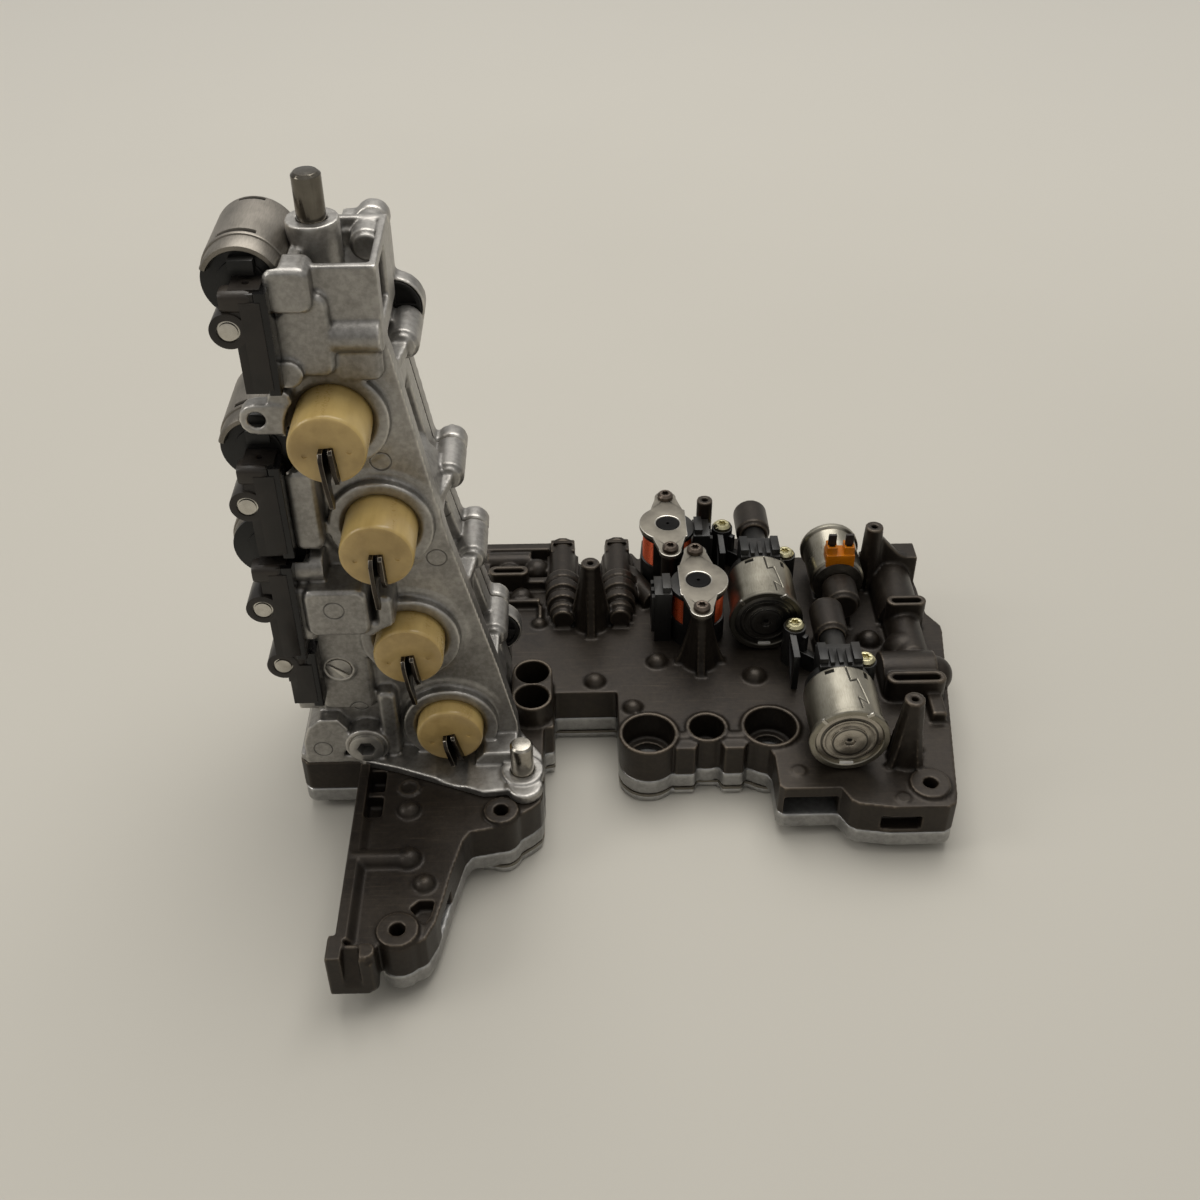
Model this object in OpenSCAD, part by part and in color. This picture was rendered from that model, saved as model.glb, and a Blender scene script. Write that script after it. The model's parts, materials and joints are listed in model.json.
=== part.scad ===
// Hydraulic control unit of an automatic gearbox: a flat valve plate of stacked castings
// with solenoids, and an upright valve block with four shift pistons.
// Millimetres, Z up, origin on the axis of the middle mounting hole at the bottom face.

/* [Plate stack] */
// Thickness of the bottom cover
cover_t = 3.3; // [2.8:0.1:5]
// Thickness of the steel separator plate
sep_t = 1.4; // [0.8:0.1:2]
// Thickness of the lower valve body
lower_t = 8.8; // [7:0.1:12]
// Thickness of the upper valve body up to its floor
upper_t = 17.5; // [16:0.5:22]
// Height of the rim and tab of the arm above the floor
rim_h = 4; // [2:0.5:6]
// Diameter of the mounting holes
hole_d = 6.6; // [5:0.1:7.5]
// Height of the mounting bosses above the floor
boss_h = 2; // [1:0.5:4]
// Shank diameter of the cover screws
cover_screw_d = 5; // [3:0.5:6]
// Reach of the front arm ahead of the middle mounting hole
arm_l = 80.6; // [78:0.2:90]
// Distance of the right edge of the plate from the middle mounting hole
wing_l = 223.5; // [221:0.5:235]

/* [Oil ports] */
// Bore of the two large ports
big_port_d = 24.5; // [20:0.5:26]
// Bore of the middle port
mid_port_d = 16.4; // [12:0.2:18]
// Bore of the two ports in the raised pair
pair_port_d = 16; // [12:0.5:16.5]
// Wall round the ports
port_wall = 2; // [1.5:0.1:2.5]
// Height of the raised pair above the floor
pair_h = 12; // [8:0.5:15]
// Depth of the large ports from their rims
port_depth = 15; // [10:0.5:17]

/* [Posts] */
// Height of the screw posts above the floor
post_h = 39; // [34:0.5:46]
// Diameter at the top of a post
post_top_d = 9.4; // [7:0.1:11]
// Width of a post across its ribs at the floor
post_base = 26; // [18:1:30]
// Thickness of the post ribs
post_rib = 4; // [2:0.5:6]

/* [Spool valves] */
// Spool diameter
spool_d = 9; // [7:0.5:10]
// Running clearance of a spool in its bore, on the radius
spool_fit = 0.05; // [0.01:0.01:0.1]
// Spool length
spool_l = 28; // [23:0.5:30]
// Height of the spool axes above the floor
valve_z = 5.5; // [4:0.5:7]
// Wire diameter of the spool springs
wire_d = 1.2; // [0.8:0.1:1.5]
// Turns of a spool spring
spring_turns = 6; // [4:1:8]
// Outer diameter of a spool spring
spring_d = 7.6; // [6:0.1:8.5]

/* [Pressure solenoids] */
// Diameter of the two large cans
can_d = 34; // [30:0.5:35]
// Length of the two large cans
can_l = 32.5; // [28:0.5:34]
// Height of the can axes above the floor
can_z = 19; // [18.5:0.5:22]
// Diameter of the rear can
rear_can_d = 28; // [24:0.5:30]
// Length of the rear can
rear_can_l = 30; // [26:0.5:32]
// Diameter of the solenoid necks
neck_d = 12; // [9:0.5:13]
// Diameter of the housings round the necks
nose_d = 17; // [16:0.5:19]
// Diameter of the raised button on a can end
button_d = 17; // [12:0.5:19]
// Head diameter of the bracket screws
bracket_head_d = 9.5; // [7:0.5:10]

/* [Switching solenoids] */
// Height of the top of the yoke plates above the floor
yoke_z = 34; // [30:0.5:38]
// Thickness of the yoke plates
yoke_t = 2.5; // [1.5:0.1:3.5]
// Distance from the middle of a yoke plate to its screws
yoke_pitch = 23.2; // [21.8:0.2:24.4]
// Radius of the round side of a yoke plate
yoke_r = 15; // [14.8:0.2:16]
// Distance of the straight side of a yoke plate from its middle
yoke_flat = 9.7; // [8:0.1:11]
// Diameter of the pole seen in a yoke plate
pole_d = 12; // [9:0.5:13]
// Outer diameter of the windings
winding_d = 26; // [22:0.5:27]

/* [Upright block] */
// Position of the face that the shift pistons come out of
face_y = 35; // [33:0.5:37]
// Position of the joint between the two halves
split_y = 86; // [82:0.5:88]
// Depth of the rear half behind the separator
rear_t = 31; // [26:0.5:36]
// Thickness of the upright separator
upright_sep_t = 1.2; // [0.8:0.1:1.6]
// Depth of the flange of the rear half
rear_flange_t = 9; // [6:0.5:12]
// Height of the block below its selector box, from the floor
block_h = 215; // [213:0.5:220]
// Height of the rim of the selector box, from the floor
box_h = 248; // [242:0.5:252]
// Wall of the selector box
box_wall = 3.6; // [2.5:0.1:5]
// Thickness of the ridge along the right edge of the piston face
ridge_t = 8; // [6:0.5:12]
// Depth of the pockets behind the ridge
pocket_d = 9; // [5:0.5:10]
// Radius of the bolt bosses
bolt_boss_r = 6.6; // [6:0.1:7.2]
// Shank diameter of the block bolts
bolt_d = 6; // [5:0.5:7]

/* [Shift pistons] */
// Diameter of the shift pistons
piston_d = 30; // [28:0.5:31]
// Running clearance of a piston in its bore, on the radius
piston_fit = 0.05; // [0.01:0.01:0.1]
// Length of a piston
piston_l = 36; // [32:0.5:38]
// Wall of the ring round a piston bore
ring_wall = 6.5; // [5:0.5:7]
// Least length of a piston in front of the face
piston_min = 5; // [4.8:0.1:6]
// Thickness of a shift finger tine
finger_t = 1.8; // [1.4:0.1:2.2]
// Gap between the two tines of a shift finger
finger_gap = 1.8; // [1:0.1:2.4]
// Reach of the long tine beyond the edge of the piston
finger_reach = 8; // [4:0.5:10]

/* [Parking rod] */
// Rod diameter
rod_d = 11; // [9:0.5:12]
// Running clearance of the rod in its bore, on the radius
rod_fit = 0.05; // [0.01:0.01:0.1]
// Length of the rod
rod_l = 54; // [50:0.5:56]
// Travel of the rod
rod_travel = 12; // [6:0.5:12]

/* [Side solenoids and retainers] */
// Diameter of the side cans
side_d = 32; // [29:0.5:33]
// Length of the side cans
side_l = 33; // [28:0.5:34]
// Thickness of the side can caps
cap_t = 6; // [4:0.5:7]
// Front of the retainer strips ahead of the caps
strip_t = 14; // [11:0.5:16]
// Diameter of the retainer pins
pin_d = 8.6; // [6:0.2:10]
// Diameter of the locating dowel
dowel_d = 10.5; // [8:0.5:12]
// Height of the locating dowel above the floor
dowel_h = 22; // [18:0.5:26]

/* [Hidden] */
$fn = 48;
e = 0.5;
sep_z = cover_t;
lower_z = sep_z + sep_t;
upper_z = lower_z + lower_t;
floor_z = upper_z + upper_t;
arm_y = -arm_l;
wing = wing_l - 223.5;
mount_holes = [[-40.5, arm_y + 16.1], [0, 0], [195, 11.5]];
mount_boss_r = [9.5, 8.5, 10];
big_ports = [[68.4, 47.5], [126.7, 51]];
mid_port = [96.3, 51];
pair_ports = [[13.1, 63.2], [13.1, 80.2]];
big_r = big_port_d / 2;
mid_r = mid_port_d / 2;
pair_r = pair_port_d / 2;
step_r = 0.65 * big_r;
cover_screws_at = [[-80, 54], [-80, 104], [-4, 36], [38, 100], [84, 74], [111, 76], [150, 66], [196, 46],
  [208, 112], [196, 142], [112, 190], [42, 166], [-4, 178]];
head_r = 0.9 * cover_screw_d;
head_t = 0.6 * cover_t;
domes = [[43.5, 85, 5.5], [75, 99, 5.5], [123, 87, 6], [61.5, 66, 5], [15.5, 130, 4], [-41.5, 2, 5.5],
  [-31.5, arm_y + 40.6, 5]];
valve_x = [28, 57.5];
spool_y = 130;
bore_y = spool_y;
spring_y = spool_y + spool_l;
plug_y = 176;
plug_l = 7.5;
clip_y = plug_y + plug_l;
clip_t = 2.2;
valve_axis = floor_z + valve_z;
can_axis = floor_z + can_z;
rear_axis = can_axis - 3;
can_r = can_d / 2;
lip_r = can_r + 1.4;
lip_t = 3;
front_1 = [158, 22];
front_2 = [129.7, 106.6];
rear_3 = [170.8, 172];
collar_t = 5;
neck_r = neck_d / 2;
nose_r = nose_d / 2;
nose_1 = [93, 117];
nose_2 = [178, 201];
nose_3 = [120, 139];
bracket_1 = [[142.8, 99.3], [173.2, 73]];
bracket_2 = [[114.3, 182.8], [145, 157.6]];
bracket_top = can_axis + 3;
column_r = bracket_head_d / 2 + 0.8;
rear_tube = [104.2, 183.2];
yoke_1 = [83.9, 170.9];
yoke_2 = [96.4, 122.6];
yoke_top = floor_z + yoke_z;
yoke_under = yoke_top - yoke_t;
pole_r = pole_d / 2;
winding_r = winding_d / 2;
flange_t = 2.4;
coil_foot = 13.5;
pistons = [[-56.5, 215, 21.5, -5], [-43.5, 164, 20, -2.5], [-37, 103.5, 12, -8], [-23.3, 51, 7, -14]];
piston_r = piston_d / 2;
finger_w = 2 * finger_t + finger_gap;
bore_r = piston_r + piston_fit;
ring_r = piston_r + ring_wall;
bore_end = face_y - piston_min + piston_l + 1;
back_y = 40;
sep_y = split_y;
rear_y = split_y + upright_sep_t;
end_caps_at = [[-36, 236], [-3.8, 63]];
end_cap_r = 11;
end_cap_t = 5;
bolt_head_r = 0.8 * bolt_d;
bolt_sink = 5;
block_top = floor_z + block_h;
box_top = floor_z + box_h;
box_x = [-69.3, -33.8];
box_y = [face_y, face_y + 45];
rod_at = [-58.5, 59];
rod_r = rod_d / 2;
rod_boss_r = rod_r + 4.5;
rod_boss_top = box_top + 8;
rod_top = rod_boss_top + 17.5;
rod_bottom = rod_top - rod_l;
bolts_at = [[-17.5, 168.5], [-10.5, 125], [-3.3, 80], [-41, 272]];
bosses_at = concat([[-31, 231]], bolts_at);
ridge = [[floor_z, 8], [48, 7], [82, 0], [155, -17.5], [240, -32.5]];
side_at = [[-82, box_top - 6], [-87, 203], [-90, 155]];
side_r = side_d / 2;
cap_r = side_r - 1.2;
cap_y = 36;
side_y = cap_y + cap_t;
side_end = side_y + side_l;
strip_y = cap_y - strip_t;
strips = [[-84.7, -73.6, box_top - 45, box_top - 3], [-91.8, -79.6, 159, 203], [-92.8, -81.8, 105, 155],
  [-90.7, -79.6, 72, 101]];
pins_at = [[-86.2, box_top - 17.8], [-91.8, 185.4], [-93.8, 133.5], [-91.7, 97]];
pin_r = pin_d / 2;
dowel_at = [9.3, 21];
socket_plug_at = [-62, 43];
slot_plug_at = [-70, 87];
iron = [0.27, 0.25, 0.23];
silver = [0.56, 0.54, 0.51];
pale = [0.6, 0.61, 0.62];
steel = [0.72, 0.7, 0.66];
black = [0.09, 0.09, 0.1];
ivory = [0.78, 0.66, 0.36];
copper = [0.75, 0.3, 0.16];

// Extrude an outline drawn in X and Z between two values of Y
module slab(y0, y1) {
  translate([0, y1, 0]) rotate([90, 0, 0]) linear_extrude(y1 - y0) children();
}

// Cylinder with its axis along Y
module ycyl(x, z, r, y0, y1) {
  translate([x, y0, z]) rotate([-90, 0, 0]) cylinder(r = r, h = y1 - y0);
}

// Cylinder with its axis along Z
module zcyl(p, r, z0, z1) {
  translate([p[0], p[1], z0]) cylinder(r = r, h = z1 - z0);
}

// Box between two corners
module box(a, b) {
  translate(a) cube(b - a);
}

// Box with round ends along X or Y, for slot bosses and slots
module oblong(p, l, w, z0, z1) {
  box([p[0] - l / 2 + w / 2, p[1] - w / 2, z0], [p[0] + l / 2 - w / 2, p[1] + w / 2, z1]);
  for (s = [-1, 1]) {
    zcyl([p[0] + s * (l - w) / 2, p[1]], w / 2, z0, z1);
  }
}

// Turn a shape drawn along Z so that it runs along Y from a point
module along_y(x, y, z) {
  translate([x, y, z]) rotate([-90, 0, 0]) children();
}

// Outline of the plate stack seen from above
module plate_2d() {
  polygon([[-68.5, arm_y], [-50, arm_y], [-48.4, arm_y + 2.6], [-48.4, arm_y + 10.6], [-31.6, arm_y + 10.6],
    [-28.8, arm_y + 12.6], [-25.3, arm_y + 20.6], [-22.6, arm_y + 33.6], [-20.6, arm_y + 45.6], [-16.2, -16],
    [-13.2, -11], [-7, -9.9], [0, -8.3], [8.4, -1.7], [14, 2.5], [17.5, 6], [18.6, 10], [18.6, 53], [23.5, 54],
    [23.5, 77.5], [54.3, 77.5], [54.3, 47.5], [68.4, 41], [79, 41], [81, 37.5], [90, 37.5], [92, 42], [102, 42],
    [104, 37.5], [113, 37.5], [115, 41], [124, 38], [126.5, 32], [126.5, 13.5], [129, 11], [154.5, 11],
    [158, 3.5], [161.5, 1], [176.5, -1.5], [201.5 + wing, -1.5], [205 + wing, 0.5], [206.5 + wing, 6],
    [wing_l, 119],
    [wing_l, 124], [217.8 + wing, 134], [216.5 + wing, 171], [213 + wing, 182], [150, 184], [148, 202],
    [72, 202], [70, 183], [66, 190], [50, 190], [48.5, 181], [33.5, 181], [32, 190], [-15, 190],
    [-15, 140], [-30, 125],
    [-94.5, 120], [-94.5, 36], [-91.5, 33], [-65.5, 33], [-65.5, arm_y + 12.6], [-68.5, arm_y + 12.6]]);
  for (i = [0 : 2]) {
    translate(mount_holes[i]) circle(r = mount_boss_r[i]);
  }
  for (p = big_ports) {
    translate(p) circle(r = big_r + port_wall);
  }
  translate(mid_port) circle(r = mid_r + port_wall);
  translate(dowel_at) circle(r = 10);
}

// Outline of the lower valve body, which stops short of the tab at the end of the arm
module lower_2d() {
  difference() {
    plate_2d();
    translate([-72, arm_y - 3.4]) square([24, 22]);
  }
}

// Outline of the bottom cover, which leaves the arm and the outer edges free
module cover_2d() {
  polygon([[-9, -7], [0, -8.3], [8.4, -1.7], [14, 2.5], [17.5, 6], [18.6, 10], [18.6, 53], [23.5, 54],
    [23.5, 77.5], [54.3, 77.5], [54.3, 47.5], [68.4, 41], [79, 41], [81, 37.5], [90, 37.5], [92, 42], [102, 42],
    [104, 37.5], [113, 37.5], [115, 41], [126, 37], [150, 40], [208 + wing, 34], [219 + wing, 119],
    [213 + wing, 134],
    [211 + wing, 178], [150, 180],
    [146, 198], [74, 198], [70, 180], [66, 186], [50, 186], [48.5, 178], [33.5, 178], [32, 186], [-12, 186],
    [-12, 138], [-30, 121], [-90, 116], [-90, 42], [-30, 42], [-20, 10]]);
  translate(mount_holes[1]) circle(r = mount_boss_r[1]);
  for (p = big_ports) {
    translate(p) circle(r = big_r + port_wall);
  }
}

// The mounting holes through the whole stack
module mount_hole_cuts() {
  for (p = mount_holes) {
    zcyl(p, hole_d / 2, -e, floor_z + boss_h + e);
  }
}

// Clearance for the cover screw shanks
module cover_screw_cuts(r, z0, z1) {
  for (p = cover_screws_at) {
    zcyl(p, r, z0, z1);
  }
}

module bottom_cover() {
  color(pale) difference() {
    linear_extrude(cover_t) cover_2d();
    mount_hole_cuts();
    cover_screw_cuts(cover_screw_d / 2 + 0.1, -e, cover_t + e);
    cover_screw_cuts(head_r + 0.2, -e, head_t);
  }
}

module separator_plate() {
  color(steel) difference() {
    translate([0, 0, sep_z]) linear_extrude(sep_t) cover_2d();
    mount_hole_cuts();
    cover_screw_cuts(cover_screw_d / 2 + 0.1, -e, floor_z);
  }
}

module lower_valve_body() {
  color(pale) difference() {
    translate([0, 0, lower_z]) linear_extrude(lower_t) lower_2d();
    mount_hole_cuts();
    cover_screw_cuts(cover_screw_d / 2 + 0.1, -e, floor_z);
  }
}

module cover_screws() {
  color(steel) for (p = cover_screws_at) {
    difference() {
      zcyl(p, head_r, 0.2, head_t);
      translate([p[0], p[1], -e]) cylinder(r = head_r * 0.5, h = head_t * 0.5 + e, $fn = 6);
    }
    zcyl(p, cover_screw_d / 2, head_t, upper_z + 10);
  }
}

// Post with a tapered core and two crossing ribs
module post(p, h, w, turn) {
  translate([p[0], p[1], floor_z - e]) rotate([0, 0, turn]) {
    cylinder(r1 = 0.34 * w, r2 = post_top_d / 2, h = h + e);
    for (a = [0, 90]) {
      rotate([90, 0, a]) translate([0, 0, -post_rib / 2]) linear_extrude(post_rib)
        polygon([[-w / 2, 0], [w / 2, 0], [w / 2 - 1, 2], [0.37 * w, 0.25 * h], [0.27 * w, 0.6 * h],
          [post_top_d / 2 - 0.2, 0.95 * h], [-post_top_d / 2 + 0.2, 0.95 * h], [-0.27 * w, 0.6 * h],
          [-0.37 * w, 0.25 * h], [-w / 2 + 1, 2]]);
    }
  }
}

// Raised rims, pockets and marks of the front arm
module arm_relief() {
  rim_z = floor_z + rim_h;
  slab(arm_y + 10, -4) polygon([[-65.5, upper_z + e], [-57.4, upper_z + e], [-57.4, floor_z], [-60.6, rim_z],
    [-65.5, rim_z]]);
  box([-65.5, -5, upper_z + e], [-60.8, 28, rim_z]);
  box([-68.5, arm_y, upper_z - 2], [-61.8, arm_y + 12, rim_z]);
  box([-62.5, arm_y, upper_z - 2], [-52, arm_y + 8.2, rim_z - 0.8]);
  zcyl([-52.2, arm_y + 4.4], 3.7, upper_z - 2, rim_z);
  translate([-64, -26, floor_z]) rotate([0, 90, 0]) cylinder(r = 4.5, h = 24.5);
  translate([-39.5, -26, floor_z - 1]) sphere(r = 6);
  difference() {
    zcyl([-42.5, 16], 5, floor_z - e, floor_z + 1);
    zcyl([-42.5, 16], 3.6, floor_z, floor_z + 2);
  }
  for (i = [0 : 2]) {
    zcyl(mount_holes[i], mount_boss_r[i] - 0.7, floor_z - e, floor_z + boss_h);
  }
}

// Ribbed housings over the spool bores and the clip blocks behind them
module valve_housings() {
  rings = [[126.5, 130.5, 5.5], [130.5, 134, 7], [134, 136.5, 6], [136.5, 142, 8.4], [142, 144.5, 7.2],
    [144.5, 150.5, 9.3], [150.5, 152.5, 8.2], [152.5, 158, 9.3]];
  for (x = valve_x) {
    for (q = rings) {
      ycyl(x, valve_axis, q[2], q[0], q[1]);
    }
    ycyl(x, valve_axis, 6.8, 157, 189);
    box([x - 8.4, 160, upper_z + e], [x + 8.4, 181, valve_axis]);
    box([x - 6.3, 179, upper_z + e], [x + 6.6, 189, valve_axis + 5.2]);
  }
  box([-15, 158, upper_z + e], [48, 162.5, floor_z + 6]);
  box([-15, 184, upper_z + e], [33, 190, floor_z + 8]);
  box([-15, 164, upper_z + e], [-11, 190, floor_z + 7]);
  oblong([-0.7, 161], 21, 8, upper_z + e, floor_z + 12);
  translate([-13, 177.5, floor_z + 4]) rotate([0, 90, 0]) cylinder(r = 5.6, h = 24);
  translate([-1, 170, floor_z + 1]) sphere(r = 7);
  translate([14, 172, floor_z + 2]) sphere(r = 7);
  translate([63, 167, floor_z + 3]) rotate([0, 0, -63]) rotate([0, 90, 0]) cylinder(r = 5.6, h = 27);
  box([15, 133, floor_z - e], [17, 142, floor_z + 3]);
  box([-12, 143, floor_z - e], [16, 146, floor_z + 5]);
  translate([6, 150, floor_z + 1]) sphere(r = 6);
}

// Housings, domes and slot bosses along the right side
module right_housings() {
  ycyl(202, floor_z + 4, 11, 126, 162);
  ycyl(202, floor_z + 4, 9, 92, 127);
  oblong([203, 122], 20, 8, floor_z - e, floor_z + 19);
  translate([200, 101, floor_z + 2]) sphere(r = 11);
  translate([184, 84, floor_z + 2]) rotate([0, 90, 0]) cylinder(r = 12, h = 27);
  translate([211, 84, floor_z + 2]) sphere(r = 9.5);
  oblong([199, 71], 29, 9, floor_z - e, floor_z + 13);
  box([186, 70, floor_z - e], [212, 84, floor_z + 9]);
  box([204, 52, floor_z - e], [211, 68, floor_z + 6]);
  box([203.5, 158, upper_z + e], [216, 171, floor_z + 18]);
  box([189, 162, upper_z + e], [212, 178, floor_z + 8]);
  translate([184, 112, floor_z]) sphere(r = 6);
}

// Housing and web that take the neck of a pressure solenoid
module nose_housing(x, z, y0, y1, r) {
  ycyl(x, z, r, y0 + 2, y1 - 2);
  ycyl(x, z, r - 1.4, y0, y1);
  box([x - 0.6 * r, y0 + 3, floor_z - e], [x + 0.6 * r, y1 - 3, z]);
}

// Cradle under a can
module cradle(x, z, y0, y1, r) {
  difference() {
    box([x - 9, y0, floor_z - e], [x + 9, y1, z - 0.8 * r]);
    ycyl(x, z, r + 0.1, y0 - e, y1 + e);
  }
}

// Plain round column under a yoke screw
module yoke_column(p) {
  zcyl(p, post_top_d / 2, floor_z - e, yoke_under);
}

module upper_valve_body() {
  color(iron) difference() {
    union() {
      difference() {
        translate([0, 0, upper_z]) linear_extrude(upper_t) plate_2d();
        box([-61.5, 14, floor_z - 9], [-53.5, 27, floor_z + 1]);
        box([-61.5, -1, floor_z - 7], [-53.5, 11, floor_z + 1]);
        translate([0, arm_y, floor_z - 6]) linear_extrude(7)
          polygon([[-36.6, 28], [-33, 32], [-26.4, 32], [-27.6, 24], [-30.4, 19.6], [-32.4, 23]]);
        box([-30, arm_y + 27, upper_z - e], [-18, arm_y + 44, floor_z - 8.5]);
        box([129, 0, upper_z - e], [154, 30, floor_z - 6]);
        box([172, -5, floor_z - 15], [190, 6, floor_z - 7]);
      }
      arm_relief();
      for (p = big_ports) {
        zcyl(p, big_r + port_wall, floor_z - e, floor_z + 1.5);
      }
      zcyl(mid_port, mid_r + port_wall, floor_z - e, floor_z + 1.5);
      box([80, 44, floor_z - e], [88, 48, floor_z + 1]);
      box([105, 44, floor_z - e], [113, 48, floor_z + 1]);
      for (p = pair_ports) {
        zcyl(p, pair_r + port_wall - 0.25, floor_z - e, floor_z + pair_h);
      }
      box([13.35 - pair_r - port_wall, 63.2, floor_z - e],
        [12.85 + pair_r + port_wall, 80.2, floor_z + pair_h]);
      for (q = domes) {
        translate([q[0], q[1], floor_z - 0.2 * q[2]]) sphere(r = q[2]);
      }
      zcyl([136.5, 22], 3.2, floor_z - e, floor_z + 0.5);
      zcyl([181.5, 4], 3.2, floor_z - e, floor_z + 0.5);
      post([42.4, 130], post_h + 1, post_base, 0);
      post([yoke_2[0], yoke_2[1] - yoke_pitch], yoke_under - floor_z, post_base, 0);
      post([186.5, 29], post_h - 1, post_base - 3, 35);
      post([191, 159.5], post_h - 1, post_base - 8, 0);
      slab(158, 162) polygon([[191, floor_z - e], [212, floor_z - e], [212, floor_z + 17], [206, floor_z + 20],
        [193, floor_z + post_h - 5], [191, floor_z + post_h - 5]]);
      yoke_column([yoke_2[0], yoke_2[1] + yoke_pitch]);
      yoke_column([yoke_1[0], yoke_1[1] - yoke_pitch]);
      yoke_column([yoke_1[0], yoke_1[1] + yoke_pitch]);
      zcyl(rear_tube, 4.2, floor_z - e, floor_z + post_h + 1);
      valve_housings();
      right_housings();
      nose_housing(160.5, can_axis, nose_1[0], nose_1[1], nose_r);
      nose_housing(131, can_axis, nose_2[0], nose_2[1], nose_r + 0.6);
      nose_housing(rear_3[0], rear_axis, nose_3[0], nose_3[1], nose_r + 0.4);
      cradle(front_1[0], can_axis, front_1[1] + 8, front_1[1] + can_l - 2, can_r);
      cradle(front_2[0], can_axis, front_2[1] + 8, front_2[1] + can_l - 2, can_r);
      cradle(rear_3[0], rear_axis, rear_3[1] - rear_can_l + 5, rear_3[1] - 6, rear_can_d / 2);
    }
    translate([-61.8, arm_y, upper_z]) rotate([90, 0, 90]) linear_extrude(7)
      polygon([[-1, 2.6], [0, 2.6], [6.8, upper_t + rim_h + 1], [-1, upper_t + rim_h + 1]]);
    mount_hole_cuts();
    cover_screw_cuts(cover_screw_d / 2, -e, upper_z + 10.5);
    for (p = big_ports) {
      zcyl(p, big_r, floor_z + 1.5 - port_depth, floor_z + 3);
      zcyl(p, step_r, upper_z - e, floor_z);
    }
    zcyl(mid_port, mid_r, floor_z + 1.5 - port_depth, floor_z + 3);
    for (p = pair_ports) {
      zcyl(p, pair_r, upper_z + 3, floor_z + pair_h + e);
    }
    for (p = [[42.4, 130], [186.5, 29], [191, 159.5], rear_tube]) {
      zcyl(p, 1.6, floor_z + post_h - 14, floor_z + post_h + 3);
    }
    for (c = [yoke_1, yoke_2]) {
      zcyl(c, winding_r + 1.1, floor_z, yoke_top);
      for (s = [-1, 1]) {
        zcyl([c[0], c[1] + s * yoke_pitch], 2, yoke_under - 12, yoke_under + e);
      }
    }
    for (x = valve_x) {
      ycyl(x, valve_axis, spool_d / 2 + spool_fit, bore_y, 191);
      box([x - spool_d / 2 - 0.5, clip_y, valve_axis - 6],
        [x + spool_d / 2 + 0.5, clip_y + clip_t, valve_axis + 9]);
    }
    oblong([-0.7, 161], 16, 3, floor_z + 2, floor_z + 14);
    oblong([203, 122], 15, 3.5, floor_z + 8, floor_z + 20);
    oblong([199, 71], 23, 4, floor_z + 4, floor_z + 14);
    ycyl(160.5, can_axis, neck_r, nose_1[0] - e, nose_1[0] + 8);
    ycyl(131, can_axis, neck_r, nose_2[0] - e, nose_2[0] + 8);
    ycyl(rear_3[0], rear_axis, neck_r, nose_3[1] - 8, nose_3[1] + e);
    for (p = concat(bracket_1, bracket_2)) {
      zcyl(p, 2, floor_z - 8, floor_z + e);
    }
    zcyl(dowel_at, dowel_d / 2, floor_z - 8, floor_z + e);
  }
}

// Spool with two lands and a waist between them, drawn along Z
module spool() {
  r = spool_d / 2;
  rotate_extrude() polygon([[0, 0], [r - 0.6, 0], [r, 0.6], [r, 0.3 * spool_l], [0.55 * r, 0.33 * spool_l],
    [0.55 * r, 0.6 * spool_l], [r, 0.63 * spool_l], [r, spool_l - 0.6], [r - 0.6, spool_l], [0, spool_l]]);
}

module spool_valve(i) {
  color(steel) along_y(valve_x[i], spool_y, valve_axis) spool();
}
module spool_valve_1() { spool_valve(0); }
module spool_valve_2() { spool_valve(1); }

// Round wire wound into a coil along Z
module coil(r, w, h, turns) {
  n = 10;
  m = 6;
  steps = turns * n;
  pts = [for (i = [0 : steps]) for (j = [0 : m - 1])
    let (a = 360 * i / n, b = 360 * j / m, q = r + w / 2 * cos(b))
    [q * cos(a), q * sin(a), w / 2 + (h - w) * i / steps + w / 2 * sin(b)]];
  sides = [for (i = [0 : steps - 1]) for (j = [0 : m - 1])
    [i * m + j, (i + 1) * m + j, (i + 1) * m + (j + 1) % m, i * m + (j + 1) % m]];
  first = [[for (j = [0 : m - 1]) j]];
  last = [[for (j = [m - 1 : -1 : 0]) steps * m + j]];
  polyhedron(points = pts, faces = concat(sides, first, last), convexity = 6);
}

module spool_spring(i) {
  color(steel) along_y(valve_x[i], spring_y, valve_axis)
    coil((spring_d - wire_d) / 2, wire_d, plug_y - spring_y, spring_turns);
}
module spool_spring_1() { spool_spring(0); }
module spool_spring_2() { spool_spring(1); }

module bore_plugs() {
  color(steel) for (x = valve_x) {
    difference() {
      ycyl(x, valve_axis, spool_d / 2 + spool_fit, plug_y, plug_y + plug_l);
      ycyl(x, valve_axis, spool_d / 4, plug_y + plug_l - 3, plug_y + plug_l + e);
    }
  }
}

module retainer_clips() {
  color(steel) for (x = valve_x) {
    box([x - spool_d / 2 - 0.5, clip_y, valve_axis - 6],
      [x + spool_d / 2 + 0.5, clip_y + clip_t, valve_axis + 6.8]);
  }
}

// Can with a rolled lip round its open front, drawn along Z from the front
module can(r, l) {
  rotate_extrude() polygon([[0, 2.2], [r - 1.6, 2.2], [r - 1.6, 0.4], [r - 1.2, 0], [r + 1, 0], [r + 1.4, 0.5],
    [r + 1.4, lip_t - 0.5], [r + 1, lip_t], [r, lip_t + 0.4], [r, l - 1], [r - 1, l], [0, l]]);
}

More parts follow.
